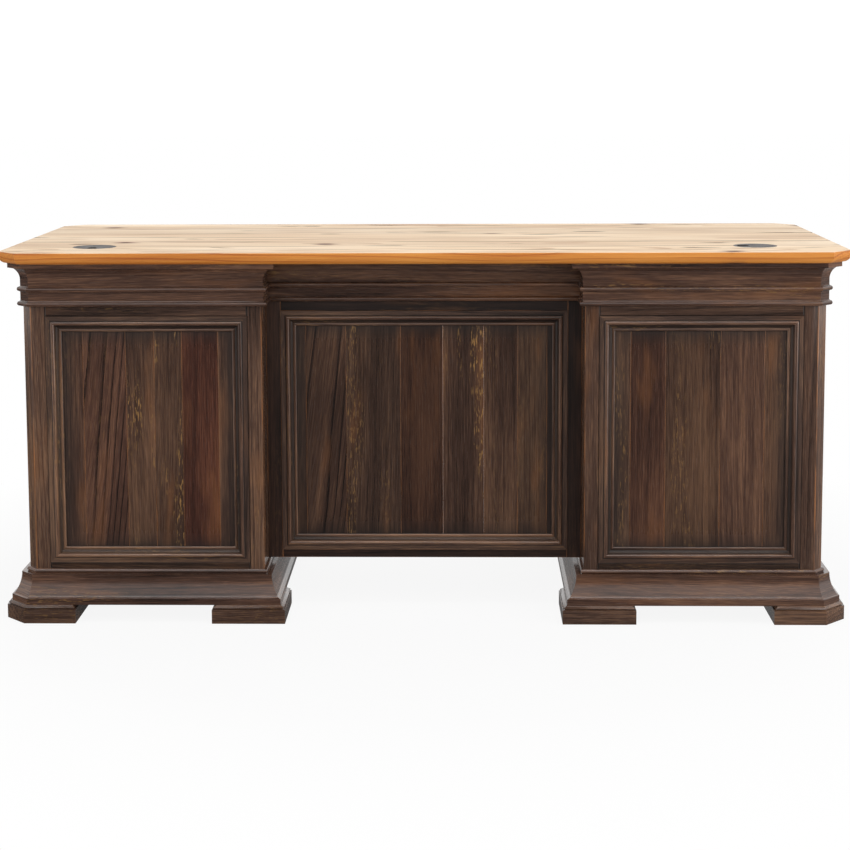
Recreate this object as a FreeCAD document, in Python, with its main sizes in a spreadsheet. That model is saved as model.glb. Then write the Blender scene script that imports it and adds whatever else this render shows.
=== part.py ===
import FreeCAD, Part
import math
import operator
import os
import types

import Sketcher

# A double pedestal desk. The origin is on the floor under the middle of the desk, +Z is up,
# the visitor's side faces -Y and the sitter's side, with the drawers, faces +Y.
# The left pedestal is modelled and the right one is its mirror image.

# Driving sizes in millimetres, each written once.
SIZES = {
    # the whole desk
    "desk_width": 1727,
    "desk_depth": 711,
    "desk_height": 762,
    # the top and its moulded edge
    "top_thickness": 24,
    "top_overhang": 45,
    "top_round": 17,
    "top_arris": 2,
    # the two cable grommets in the top
    "grommet_from_side": 178.5,
    "grommet_from_edge": 141,
    "grommet_hole": 40,
    "grommet_flange": 45,
    "grommet_flange_thick": 2.5,
    "grommet_bore": 33,
    "grommet_sleeve": 22,
    "cap_radius": 36.5,
    "cap_thickness": 4,
    "cap_play": 0.3,
    "notch_width": 18,
    "notch_depth": 24,
    "notch_round": 7.5,
    # the pedestals' frames and panels
    "knee_width": 657,
    "body_chamfer": 18,
    "post_size": 48,
    "stile_width": 30,
    "frame_thickness": 22,
    "gable_thickness": 18,
    "top_rail_show": 21,
    "bottom_rail_show": 13.2,
    "middle_rail": 20,
    "panel_thickness": 12,
    "panel_recess": 9,
    "bottom_thickness": 12,
    "cable_gap": 125,
    # the moulding round each panel
    "moulding_width": 32,
    "band_width": 10,
    "band_proud": 1.5,
    "band_bead_width": 8.5,
    "band_bead_round": 3.2,
    "moulding_hollow_width": 7,
    "moulding_hollow": 1.6,
    "sight_bead_height": 2.5,
    "sight_bead_round": 1.8,
    # the cornice under the top
    "cornice_height": 88.5,
    "cornice_out": 28,
    "cornice_fillet": 9.5,
    "cove_out": 20.5,
    "cove_plain": 14.5,
    "cove_hollow": 4.2,
    "frieze_out": 5,
    "frieze_height": 21,
    "bead_height": 9,
    "bead_out": 11.5,
    "bead_round": 3.5,
    # the plinth above the feet
    "plinth_height": 67,
    "plinth_out": 35.5,
    "plinth_fascia": 12.5,
    "plinth_lip": 7,
    "plinth_lip_hollow": 1.5,
    "plinth_cove_out": 27,
    "plinth_cove_hollow": 2,
    "plinth_fillet": 5.5,
    "plinth_fillet_out": 16,
    "plinth_quirk": 2.5,
    "plinth_quirk_out": 3.5,
    "plinth_bead": 6,
    "plinth_bead_out": 6,
    "plinth_bead_edge": 1,
    "plinth_bead_round": 1.6,
    # the block feet
    "foot_height": 36.5,
    "foot_length": 150,
    "foot_out": 45,
    "foot_block": 28.6,
    "foot_neck": 3.4,
    "foot_neck_inset": 5,
    "foot_cap_inset": 2,
    "foot_bevel_inset": 8,
    # the modesty panel between the pedestals
    "modesty_recess": 85.5,
    "modesty_bottom": 105,
    "modesty_rail_show": 17,
    # drawers
    "upper_opening": 150,
    "drawer_gap": 2,
    "front_thickness": 14,
    "drawer_length": 450,
    "centre_room_behind": 99.5,
    "drawer_wall": 12,
    "drawer_bottom": 6,
    "bottom_groove": 8,
    "box_lift": 14,
    "upper_headroom": 31,
    "file_headroom": 82.8,
    "centre_side": 60,
    "centre_drop": 10,
    # drawer runners of folded steel
    "runner_thickness": 12.7,
    "runner_height": 45,
    "runner_depth": 8.5,
    "runner_wall": 1.5,
    "runner_play": 0.35,
    "hanging_rail_thick": 2,
    "hanging_rail_height": 20,
    "hanging_rail_show": 8,
    # turned knobs and the screw that holds each one
    "knob_length": 27,
    "knob_radius": 14,
    "knob_crown": 3,
    "knob_flat": 3,
    "knob_neck": 6.5,
    "knob_neck_end": 12,
    "knob_shoulder": 17,
    "knob_rose": 11.5,
    "knob_rose_thick": 2.5,
    "knob_hollow": 1.2,
    "stud_radius": 2,
    "stud_grip": 11,
    "stud_head": 4.5,
    "stud_head_thick": 2.5,
    "stud_play": 0.2,
    # cleats and screws that hold the top and the modesty frame
    "cleat_width": 26,
    "cleat_thickness": 20,
    "screw_radius": 2.25,
    "screw_head": 4.5,
    "screw_head_thick": 3,
    "top_screw_length": 35,
    "frame_screw_length": 45,
    "screw_inset": 60,
}

ROOT_TWO = math.sqrt(2)
# The angle in degrees that a moulding turns through at the end of a length; its mitre is half of it.
SQUARE_ANGLE = 0
CORNER_ANGLE = 90
INNER_ANGLE = -90
CLIPPED_ANGLE = 45
# What a parallel line a millimetre further out adds to the leg of a clipped corner.
CLIP_GROWTH = 2 - ROOT_TWO
SAW_MARGIN = 1

X_AXIS = FreeCAD.Vector(1, 0, 0)
Y_AXIS = FreeCAD.Vector(0, 1, 0)
Z_AXIS = FreeCAD.Vector(0, 0, 1)


class Formula:
    """A cell of the sheet, or a sum of cells: its text for an expression and its present number."""

    def __init__(self, text, number):
        self.text = text
        self.number = number

    def combine(self, other, sign, work):
        other = formula(other)
        return Formula(f"({self.text} {sign} {other.text})", work(self.number, other.number))

    def __add__(self, other):
        return self.combine(other, "+", operator.add)

    def __sub__(self, other):
        return self.combine(other, "-", operator.sub)

    def __mul__(self, other):
        return self.combine(other, "*", operator.mul)

    def __truediv__(self, other):
        return self.combine(other, "/", operator.truediv)

    def __neg__(self):
        return Formula(f"(-{self.text})", -self.number)


def formula(value):
    if isinstance(value, Formula):
        return value
    return Formula(repr(value), value)


doc = FreeCAD.newDocument("double_pedestal_desk")
sheet = doc.addObject("Spreadsheet::Sheet", "Sizes")
for row, (name, number) in enumerate(SIZES.items(), start=1):
    sheet.set(f"A{row}", name)
    sheet.set(f"B{row}", str(number))
    sheet.setAlias(f"B{row}", name)
doc.recompute()
size = types.SimpleNamespace(**{name: Formula(f"Sizes.{name}", number) for name, number in SIZES.items()})

nodes = []


def bind(item, prop, value):
    item.setExpression(prop, formula(value).text)


def place(item, x, y, z, rotation=FreeCAD.Rotation()):
    item.Placement = FreeCAD.Placement(FreeCAD.Vector(), rotation)
    bind(item, "Placement.Base.x", x)
    bind(item, "Placement.Base.y", y)
    bind(item, "Placement.Base.z", z)
    return item


def turned(local_x, local_y):
    """The rotation that lays an item's own x and y along two given directions."""
    return FreeCAD.Rotation(local_x, local_y, local_x.cross(local_y), "XYZ")


def keep(label, item):
    """Hands a finished sub-part over as a node of the desk."""
    item.Label = label
    nodes.append(item)
    return item


def group(label, items):
    """A node of several separate solids."""
    bundle = doc.addObject("Part::Compound", label)
    bundle.Links = items
    return keep(label, bundle)


def mirrored(label, item):
    """The same piece on the other side of the desk's middle."""
    twin = doc.addObject("Part::Mirroring", label)
    twin.Source = item
    twin.Base = FreeCAD.Vector()
    twin.Normal = X_AXIS
    return twin


def both_sides(item):
    """Gives a left-hand node its right-hand twin."""
    label = item.Label.replace("left_", "right_")
    return keep(label, mirrored(label, item))


def board(label, x, y, z):
    """A plain board from one value to another along each axis."""
    item = doc.addObject("Part::Box", label)
    bind(item, "Length", formula(x[1]) - x[0])
    bind(item, "Width", formula(y[1]) - y[0])
    bind(item, "Height", formula(z[1]) - z[0])
    return place(item, x[0], y[0], z[0])


def pin(sketch, kind, corner, value):
    """Ties a corner's distance from the sketch's origin along one axis to a value."""
    if formula(value).text == "0":
        level = "Vertical" if kind == "DistanceX" else "Horizontal"
        sketch.addConstraint(Sketcher.Constraint(level, -1, 1, *corner))
        return
    number = sketch.addConstraint(Sketcher.Constraint(kind, -1, 1, *corner, formula(value).number))
    bind(sketch, f"Constraints[{number}]", value)


def arc_side(start, finish, rise, anticlockwise):
    """The arc from start to finish that rises by rise off its chord, and its radius."""
    chord = finish - start
    radius = chord.Length ** 2 / (8 * rise) + rise / 2
    left = FreeCAD.Vector(-chord.y, chord.x, 0).normalize()
    side = 1 if anticlockwise else -1
    centre = (start + finish) * 0.5 + left * (side * (radius - rise))
    first, last = (start, finish) if anticlockwise else (finish, start)
    first_angle = math.atan2(first.y - centre.y, first.x - centre.x)
    last_angle = math.atan2(last.y - centre.y, last.x - centre.x)
    if last_angle < first_angle:
        last_angle += 2 * math.pi
    return Part.ArcOfCircle(Part.Circle(centre, Z_AXIS, radius), first_angle, last_angle), radius


def draw_outline(sketch, corners):
    """Draws a closed outline through (x, y) corners. A third value bows the side that starts at
    that corner: out of the shape by that much where it is positive, and into it where negative."""
    points = [(formula(corner[0]), formula(corner[1])) for corner in corners]
    spots = [FreeCAD.Vector(x.number, y.number, 0) for x, y in points]
    following = [(index + 1) % len(points) for index in range(len(points))]
    area = sum(spots[i].x * spots[j].y - spots[j].x * spots[i].y for i, j in enumerate(following))
    ends = []
    radii = {}
    for here, there in enumerate(following):
        if len(corners[here]) == 2:
            sketch.addGeometry(Part.LineSegment(spots[here], spots[there]), False)
            ends.append((1, 2))
            continue
        bow = corners[here][2]
        anticlockwise = (bow.number > 0) == (area > 0)
        rise = bow if bow.number > 0 else -bow
        arc, radius = arc_side(spots[here], spots[there], rise.number, anticlockwise)
        sketch.addGeometry(arc, False)
        ends.append((1, 2) if anticlockwise else (2, 1))
        across = points[there][0] - points[here][0]
        along = points[there][1] - points[here][1]
        radii[here] = (across * across + along * along) / (rise * 8) + rise / 2
    for here, there in enumerate(following):
        joint = (here, ends[here][1], there, ends[there][0])
        sketch.addConstraint(Sketcher.Constraint("Coincident", *joint))
    for here, (x, y) in enumerate(points):
        pin(sketch, "DistanceX", (here, ends[here][0]), x)
        pin(sketch, "DistanceY", (here, ends[here][0]), y)
    for here, radius in radii.items():
        number = sketch.addConstraint(Sketcher.Constraint("Radius", here, radius.number))
        bind(sketch, f"Constraints[{number}]", radius)
    return sketch


def section(label, corners):
    """The cross-section of something run to length."""
    return draw_outline(doc.addObject("Sketcher::SketchObject", label), corners)


def body_sketch(body, label, plane, lift=0):
    """A sketch on one of a body's own planes, lifted off it along the plane's normal."""
    sketch = body.newObject("Sketcher::SketchObject", label)
    support = next(item for item in body.Origin.OriginFeatures if item.Role == plane)
    sketch.AttachmentSupport = (support, [""])
    sketch.MapMode = "FlatFace"
    bind(sketch, "AttachmentOffset.Base.z", lift)
    return sketch


def padded(body, label, sketch, length):
    pad = body.newObject("PartDesign::Pad", label)
    pad.Profile = sketch
    bind(pad, "Length", length)
    return pad


def pocketed(body, label, sketch, depth, upwards):
    pocket = body.newObject("PartDesign::Pocket", label)
    pocket.Profile = sketch
    bind(pocket, "Length", depth)
    pocket.Reversed = upwards
    return pocket


def revolved(label, plane, corners):
    """A turned body: an outline of (radius, height) corners spun about its sketch's upright axis."""
    body = doc.addObject("PartDesign::Body", label)
    sketch = draw_outline(body_sketch(body, f"{label}_outline", plane), corners)
    turn = body.newObject("PartDesign::Revolution", f"{label}_turn")
    turn.Profile = sketch
    turn.ReferenceAxis = (sketch, ["V_Axis"])
    turn.Angle = 360
    return body


def run_length(label, outline, length):
    """A bar of a section's shape, run along its own z."""
    bar = doc.addObject("Part::Extrusion", label)
    bar.Base = outline
    bar.DirMode = "Custom"
    bar.Dir = Z_AXIS
    bar.Solid = True
    bind(bar, "LengthFwd", length)
    return bar


def sawn_length(label, outline, length, reach, tall, angles):
    """A length of moulding mitred at both ends. Its section has x up the moulding, tall high, and y out
    from its back, reach deep; the angles are what it turns through at its first and last end."""
    mitres = [math.tan(math.radians(angle / 2)) for angle in angles]
    bar = run_length(f"{label}_bar", outline, formula(length) + reach * 2)
    bind(bar, "LengthRev", reach * 2)
    saw = doc.addObject("Part::Wedge", f"{label}_saw")
    bind(saw, "Xmin", -SAW_MARGIN)
    bind(saw, "X2min", -SAW_MARGIN)
    bind(saw, "Xmax", tall)
    bind(saw, "X2max", tall)
    bind(saw, "Ymin", -SAW_MARGIN)
    bind(saw, "Ymax", reach + SAW_MARGIN)
    bind(saw, "Zmin", SAW_MARGIN * mitres[0])
    bind(saw, "Zmax", formula(length) - SAW_MARGIN * mitres[1])
    bind(saw, "Z2min", -((reach + SAW_MARGIN) * mitres[0]))
    bind(saw, "Z2max", formula(length) + (reach + SAW_MARGIN) * mitres[1])
    piece = doc.addObject("Part::Common", label)
    piece.Base = bar
    piece.Tool = saw
    return piece


# Places that several pieces share
body_x = size.desk_width / 2 - size.top_overhang
body_y = size.desk_depth / 2 - size.top_overhang
knee_x = size.knee_width / 2
top_under = size.desk_height - size.top_thickness
cornice_bottom = top_under - size.cornice_height
plinth_top = size.foot_height + size.plinth_height
opening_top = cornice_bottom - size.top_rail_show
opening_bottom = plinth_top + size.bottom_rail_show
frame_back_x = body_x - size.frame_thickness
frame_back_y = body_y - size.frame_thickness
post_y = body_y - size.post_size
gable_inside = knee_x + size.gable_thickness
post_edge = -(body_x - size.post_size)
stile_edge = -(knee_x + size.stile_width)
modesty_face = -(body_y - size.modesty_recess)
modesty_opening_bottom = size.modesty_bottom + size.modesty_rail_show
clip_x = body_x - size.body_chamfer
clip_y = body_y - size.body_chamfer


# Sections that are run to length
bead_root = size.bead_out - size.bead_round
upper_bead = size.bead_height + size.frieze_height
cove_foot = upper_bead + size.bead_height
cove_top = size.cornice_height - size.cornice_fillet
cornice_section = section("cornice_section", [
    (0, 0),
    (0, bead_root, size.bead_round),
    (size.bead_height, bead_root),
    (size.bead_height, size.frieze_out),
    (upper_bead, size.frieze_out),
    (upper_bead, bead_root, size.bead_round),
    (cove_foot, bead_root),
    (cove_foot, size.frieze_out),
    (cove_foot + size.cove_plain, size.frieze_out, -size.cove_hollow),
    (cove_top, size.cove_out),
    (cove_top, size.cornice_out),
    (size.cornice_height, size.cornice_out),
    (size.cornice_height, 0),
])

plinth_bead_foot = size.plinth_height - size.plinth_bead
plinth_ledge = plinth_bead_foot - size.plinth_quirk
plinth_section = section("plinth_section", [
    (0, 0),
    (0, size.plinth_out),
    (size.plinth_fascia, size.plinth_out, -size.plinth_lip_hollow),
    (size.plinth_fascia + size.plinth_lip, size.plinth_cove_out, -size.plinth_cove_hollow),
    (plinth_ledge - size.plinth_fillet, size.plinth_fillet_out),
    (plinth_ledge, size.plinth_fillet_out),
    (plinth_ledge, size.plinth_quirk_out),
    (plinth_bead_foot, size.plinth_quirk_out),
    (plinth_bead_foot, size.plinth_bead_out, size.plinth_bead_round),
    (size.plinth_height, size.plinth_bead_edge),
    (size.plinth_height, 0),
])

band_face = size.panel_recess + size.band_proud
bead_end = size.band_width + size.band_bead_width
sight_bead = bead_end + size.moulding_hollow_width
moulding_section = section("moulding_section", [
    (0, 0),
    (band_face, 0),
    (band_face, size.band_width, size.band_bead_round),
    (band_face, bead_end, -size.moulding_hollow),
    (size.sight_bead_height, sight_bead, size.sight_bead_round),
    (size.sight_bead_height, size.moulding_width),
    (0, size.moulding_width),
])
moulding_tall = band_face + size.band_bead_round + SAW_MARGIN

post_section = section("post_section", [
    (size.body_chamfer, 0),
    (size.post_size, 0),
    (size.post_size, size.post_size),
    (0, size.post_size),
    (0, size.body_chamfer),
])


def moulding_ring(label, normal, origin, low, high):
    """Four mitred lengths round an opening. The opening lies in the plane through origin, square to
    normal; low and high are its corners as (along, height), along running to the right of the normal."""
    along = Z_AXIS.cross(normal)
    wide = formula(high[0]) - low[0]
    tall = formula(high[1]) - low[1]
    lengths = [
        ("bottom", Z_AXIS, wide, (high[0], low[1])),
        ("top", -Z_AXIS, wide, (low[0], high[1])),
        ("left", along, tall, (low[0], low[1])),
        ("right", -along, tall, (high[0], high[1])),
    ]
    pieces = []
    for side, inward, length, corner in lengths:
        piece = sawn_length(f"{label}_{side}", moulding_section, length, size.moulding_width,
                            moulding_tall, (INNER_ANGLE, INNER_ANGLE))
        start_x = formula(origin[0]) + formula(corner[0]) * round(along.x)
        start_y = formula(origin[1]) + formula(corner[0]) * round(along.y)
        pieces.append(place(piece, start_x, start_y, corner[1], turned(normal, inward)))
    return pieces


def trim_length(label, outline, reach, tall, normal, start, z, length, angles):
    """A length of cornice or plinth on a face of the body, running to the right of the face's normal."""
    piece = sawn_length(label, outline, length, reach, formula(tall) + SAW_MARGIN, angles)
    return place(piece, start[0], start[1], z, turned(Z_AXIS, normal))


# The top: long planks glued into one board, with clipped corners, a rounded lower edge and two
# counterbored holes for the cable grommets
top_clip = size.body_chamfer + size.top_overhang * CLIP_GROWTH
desk_top = doc.addObject("PartDesign::Body", "desk_top")
top_plan = draw_outline(body_sketch(desk_top, "top_plan", "XY_Plane"), [
    (top_clip, 0),
    (size.desk_width - top_clip, 0),
    (size.desk_width, top_clip),
    (size.desk_width, size.desk_depth - top_clip),
    (size.desk_width - top_clip, size.desk_depth),
    (top_clip, size.desk_depth),
    (0, size.desk_depth - top_clip),
    (0, top_clip),
])
top_board = padded(desk_top, "top_board", top_plan, size.top_thickness)


def edges_at(shape, height):
    """The names of the edges that lie level at a height."""
    level = []
    for index, edge in enumerate(shape.Edges, start=1):
        if all(abs(vertex.Z - height) < 1e-6 for vertex in edge.Vertexes):
            level.append(f"Edge{index}")
    return level


doc.recompute()
lower_edge = desk_top.newObject("PartDesign::Fillet", "top_lower_edge")
lower_edge.Base = (top_board, edges_at(top_board.Shape, 0))
bind(lower_edge, "Radius", size.top_round)
doc.recompute()
upper_edge = desk_top.newObject("PartDesign::Fillet", "top_upper_edge")
upper_edge.Base = (lower_edge, edges_at(lower_edge.Shape, SIZES["top_thickness"]))
bind(upper_edge, "Radius", size.top_arris)


def grommet_circles(sketch, radius):
    """Two circles at the grommets' places, left and right."""
    for index, x in enumerate((size.grommet_from_side, size.desk_width - size.grommet_from_side)):
        spot = FreeCAD.Vector(x.number, size.grommet_from_edge.number, 0)
        sketch.addGeometry(Part.Circle(spot, Z_AXIS, formula(radius).number), False)
        pin(sketch, "DistanceX", (index, 3), x)
        pin(sketch, "DistanceY", (index, 3), size.grommet_from_edge)
        number = sketch.addConstraint(Sketcher.Constraint("Radius", index, formula(radius).number))
        bind(sketch, f"Constraints[{number}]", radius)
    return sketch


hole_plan = grommet_circles(body_sketch(desk_top, "grommet_holes", "XY_Plane"), size.grommet_hole)
pocketed(desk_top, "grommet_bores", hole_plan, size.top_thickness, True)
seat_plan = body_sketch(desk_top, "grommet_seats", "XY_Plane", size.top_thickness)
grommet_circles(seat_plan, size.grommet_flange)
pocketed(desk_top, "grommet_counterbores", seat_plan, size.grommet_flange_thick, False)
place(desk_top, -(size.desk_width / 2), -(size.desk_depth / 2), top_under)
keep("desk_top", desk_top)

# Cable grommets: a flanged metal liner in each hole, and a cap that turns in it
grommet_x = size.desk_width / 2 - size.grommet_from_side
grommet_y = size.grommet_from_edge - size.desk_depth / 2
cap_seat = size.top_thickness - size.cap_thickness - size.cap_play
liner_outside = size.grommet_hole - size.cap_play
liner_bottom = size.top_thickness - size.grommet_sleeve
flange_under = size.top_thickness - size.grommet_flange_thick
liners = []
for side, x in (("left", -grommet_x), ("right", grommet_x)):
    liner = revolved(f"{side}_grommet_liner", "XZ_Plane", [
        (size.grommet_bore, liner_bottom),
        (liner_outside, liner_bottom),
        (liner_outside, flange_under),
        (size.grommet_flange, flange_under),
        (size.grommet_flange, size.top_thickness),
        (size.cap_radius + size.cap_play, size.top_thickness),
        (size.cap_radius + size.cap_play, cap_seat),
        (size.grommet_bore, cap_seat),
    ])
    liners.append(place(liner, x, grommet_y, top_under))
group("grommet_liners", liners)

# The left cap's notch points to the visitor's edge, and the right cap's to the desk's middle.
for side, x, notch_turn in (("left", -grommet_x, -90), ("right", grommet_x, 180)):
    cap = revolved(f"grommet_cap_{side}", "XZ_Plane", [
        (0, 0),
        (size.cap_radius, 0),
        (size.cap_radius, size.cap_thickness),
        (0, size.cap_thickness),
    ])
    notch_floor = size.cap_radius - size.notch_depth + size.notch_round
    notch_mouth = size.cap_radius + SAW_MARGIN
    notch = body_sketch(cap, f"notch_{side}", "XY_Plane")
    bind(notch, "AttachmentOffset.Base.y", -(size.notch_width / 2))
    draw_outline(notch, [
        (notch_floor, 0),
        (notch_mouth, 0),
        (notch_mouth, size.notch_width),
        (notch_floor, size.notch_width, size.notch_round),
    ])
    pocketed(cap, f"notch_cut_{side}", notch, size.cap_thickness, True)
    place(cap, x, grommet_y, size.desk_height - size.cap_thickness, FreeCAD.Rotation(Z_AXIS, notch_turn))
    keep(f"grommet_cap_{side}", cap)


# Pedestal frame: clipped corner posts outside, stiles at the knee hole, rails between them
posts = []
for side, y, turn in (("visitor", -body_y, 0), ("sitter", body_y, -90)):
    post = run_length(f"left_{side}_post", post_section, top_under - size.foot_height)
    posts.append(place(post, -body_x, y, size.foot_height, FreeCAD.Rotation(Z_AXIS, turn)))
frame_faces = {"visitor": (-body_y, -frame_back_y), "sitter": (frame_back_y, body_y)}
for side, faces in frame_faces.items():
    posts.append(board(f"left_{side}_stile", (stile_edge, -knee_x), faces, (size.foot_height, top_under)))
both_sides(group("left_posts", posts))

file_opening_top = opening_top - size.upper_opening - size.middle_rail
upper_opening_bottom = opening_top - size.upper_opening
rails = []
for side, faces in frame_faces.items():
    rails.append(board(f"left_{side}_top_rail", (post_edge, stile_edge), faces, (opening_top, top_under)))
    rails.append(board(f"left_{side}_bottom_rail", (post_edge, stile_edge), faces,
                       (size.foot_height, opening_bottom)))
rails.append(board("left_middle_rail", (post_edge, stile_edge), frame_faces["sitter"],
                   (file_opening_top, upper_opening_bottom)))
rails.append(board("left_side_top_rail", (-body_x, -frame_back_x), (-post_y, post_y),
                   (opening_top, top_under)))
rails.append(board("left_side_bottom_rail", (-body_x, -frame_back_x), (-post_y, post_y),
                   (size.foot_height, opening_bottom)))
both_sides(group("left_rails", rails))

# Pedestal panels, set back in their frames, and the mitred mouldings that cover the joint
panel_back_y = body_y - size.panel_recess - size.panel_thickness
panel_back_x = body_x - size.panel_recess - size.panel_thickness
panel_heights = (opening_bottom, opening_top)
visitor_panel = board("left_visitor_panel", (post_edge, stile_edge),
                      (-(body_y - size.panel_recess), -panel_back_y), panel_heights)
both_sides(keep("left_visitor_panel", visitor_panel))
side_panel = board("left_side_panel", (-(body_x - size.panel_recess), -panel_back_x),
                   (-post_y, post_y), panel_heights)
both_sides(keep("left_side_panel", side_panel))
visitor_ring = moulding_ring("left_visitor_moulding", -Y_AXIS, (0, -(body_y - size.panel_recess)),
                             (post_edge, opening_bottom), (stile_edge, opening_top))
side_ring = moulding_ring("left_side_moulding", -X_AXIS, (-(body_x - size.panel_recess), 0),
                          (-post_y, opening_bottom), (post_y, opening_top))
both_sides(group("left_panel_mouldings", visitor_ring + side_ring))

# The gable walls the knee hole, and the bottom board stops short of the visitor's side for cables.
gable = board("left_gable", (-gable_inside, -knee_x), (-frame_back_y, frame_back_y),
              (size.foot_height, top_under))
both_sides(keep("left_gable", gable))
bottom_board = board("left_bottom_board", (-frame_back_x, -gable_inside),
                     (size.cable_gap - frame_back_y, post_y),
                     (plinth_top - size.bottom_thickness, plinth_top))
both_sides(keep("left_bottom_board", bottom_board))

# Cornice under the top and plinth above the feet, mitred round the pedestal
front_run = clip_x - knee_x
side_run = clip_y * 2
clip_run = size.body_chamfer * ROOT_TWO
visitor_clip = FreeCAD.Vector(-1, -1, 0).normalize()
sitter_clip = FreeCAD.Vector(-1, 1, 0).normalize()
wrapped_faces = [
    ("visitor_clip", visitor_clip, (-body_x, -clip_y), clip_run, (CLIPPED_ANGLE, CLIPPED_ANGLE)),
    ("side", -X_AXIS, (-body_x, clip_y), side_run, (CLIPPED_ANGLE, CLIPPED_ANGLE)),
    ("sitter_clip", sitter_clip, (-clip_x, body_y), clip_run, (CLIPPED_ANGLE, CLIPPED_ANGLE)),
    ("visitor", -Y_AXIS, (-clip_x, -body_y), front_run, (CLIPPED_ANGLE, CORNER_ANGLE)),
]
cornice_faces = wrapped_faces + [
    ("sitter", Y_AXIS, (-knee_x, body_y), front_run, (SQUARE_ANGLE, CLIPPED_ANGLE)),
    ("return", X_AXIS, (-knee_x, -body_y), size.modesty_recess, (CORNER_ANGLE, INNER_ANGLE)),
]
plinth_faces = wrapped_faces + [
    ("sitter", Y_AXIS, (-knee_x, body_y), front_run, (CORNER_ANGLE, CLIPPED_ANGLE)),
    ("knee", X_AXIS, (-knee_x, -body_y), body_y * 2, (CORNER_ANGLE, CORNER_ANGLE)),
]
both_sides(group("left_cornice", [
    trim_length(f"left_cornice_{face}", cornice_section, size.cornice_out, size.cornice_height,
                normal, start, cornice_bottom, length, angles)
    for face, normal, start, length, angles in cornice_faces]))
both_sides(group("left_plinth", [
    trim_length(f"left_plinth_{face}", plinth_section, size.plinth_out, size.plinth_height,
                normal, start, size.foot_height, length, angles)
    for face, normal, start, length, angles in plinth_faces]))


# Block feet under the pedestal's corners: a block, a shadow neck and a bevelled cap
def foot(label, clip):
    """A foot with its outer corner at its own origin, clipped there by clip (0 for a square corner)."""
    body = doc.addObject("PartDesign::Body", label)

    def plan(name, lift, inset):
        far = size.foot_length - inset
        corner = [(inset, inset)]
        if clip:
            leg = inset + clip - inset * CLIP_GROWTH
            corner = [(inset, leg), (leg, inset)]
        sketch = body_sketch(body, f"{label}_{name}", "XY_Plane", lift)
        return draw_outline(sketch, corner + [(far, inset), (far, far), (inset, far)])

    neck_top = size.foot_block + size.foot_neck
    padded(body, f"{label}_block", plan("block_plan", 0, formula(0)), size.foot_block)
    neck_plan = plan("neck_plan", size.foot_block, size.foot_neck_inset)
    padded(body, f"{label}_neck", neck_plan, size.foot_neck)
    bevel = body.newObject("PartDesign::AdditiveLoft", f"{label}_cap")
    bevel.Profile = plan("cap_plan", neck_top, size.foot_cap_inset)
    bevel.Sections = [plan("cap_top_plan", size.foot_height, size.foot_bevel_inset)]
    bevel.Ruled = True
    return body


foot_clip = size.body_chamfer + size.foot_out * CLIP_GROWTH
foot_x = body_x + size.foot_out
foot_y = body_y + size.foot_out
foot_knee_x = size.foot_out - knee_x
foot_places = [
    ("visitor_outer", foot_clip, -foot_x, -foot_y, 0),
    ("visitor_knee", None, foot_knee_x, -foot_y, 90),
    ("sitter_knee", None, foot_knee_x, foot_y, 180),
    ("sitter_outer", foot_clip, -foot_x, foot_y, 270),
]
feet = []
for corner, clip, x, y, turn in foot_places:
    feet.append(place(foot(f"left_{corner}_foot", clip), x, y, 0, FreeCAD.Rotation(Z_AXIS, turn)))
both_sides(group("left_feet", feet))

# Modesty frame, panel and moulding between the pedestals, with the cornice carried across
modesty_back = modesty_face + size.frame_thickness
modesty_edge = knee_x - size.stile_width
modesty_faces = (modesty_face, modesty_back)
modesty_heights = (size.modesty_bottom, top_under)
group("modesty_frame", [
    board("modesty_left_stile", (-knee_x, -modesty_edge), modesty_faces, modesty_heights),
    board("modesty_right_stile", (modesty_edge, knee_x), modesty_faces, modesty_heights),
    board("modesty_top_rail", (-modesty_edge, modesty_edge), modesty_faces, (opening_top, top_under)),
    board("modesty_bottom_rail", (-modesty_edge, modesty_edge), modesty_faces,
          (size.modesty_bottom, modesty_opening_bottom)),
])
modesty_panel_face = modesty_face + size.panel_recess
keep("modesty_panel", board("modesty_panel", (-modesty_edge, modesty_edge),
                            (modesty_panel_face, modesty_panel_face + size.panel_thickness),
                            (modesty_opening_bottom, opening_top)))
group("modesty_moulding", moulding_ring("modesty_moulding", -Y_AXIS, (0, modesty_panel_face),
                                        (-modesty_edge, modesty_opening_bottom),
                                        (modesty_edge, opening_top)))
keep("centre_cornice", trim_length("centre_cornice", cornice_section, size.cornice_out, size.cornice_height,
                                   -Y_AXIS, (-knee_x, modesty_face), cornice_bottom, size.knee_width,
                                   (INNER_ANGLE, INNER_ANGLE)))


# Drawer runners: steel channels, one inside the other. Each section's x starts at the fixed face.
def channel(label, web, lip, inset, wall):
    """A channel whose back is at web and whose flanges end at lip; wall points from web to lip."""
    steel = size.runner_wall
    high = size.runner_height - inset
    return section(label, [
        (web, inset),
        (lip, inset),
        (lip, inset + steel),
        (web + wall, inset + steel),
        (web + wall, high - steel),
        (lip, high - steel),
        (lip, high),
        (web, high),
    ])


nesting = size.runner_wall + size.runner_play
drawer_lip = size.runner_thickness - size.runner_depth
fixed_channel = channel("fixed_channel", formula(0), size.runner_depth, formula(0), size.runner_wall)
middle_channel = channel("middle_channel", nesting, nesting + size.runner_depth, nesting, size.runner_wall)
drawer_channel = channel("drawer_channel", size.runner_thickness, drawer_lip, nesting, -size.runner_wall)
file_channel = channel("file_channel", size.runner_thickness, drawer_lip, nesting * 2, -size.runner_wall)


def runner_pair(label, outline, faces, front, length, z):
    """One runner member on each side of a drawer, from the front backwards."""
    low = run_length(f"{label}_low", outline, length)
    high = run_length(f"{label}_high", outline, length)
    return [
        place(low, faces[0], front, z, turned(X_AXIS, Z_AXIS)),
        place(high, faces[1], formula(front) - length, z, turned(-X_AXIS, Z_AXIS)),
    ]


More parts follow.
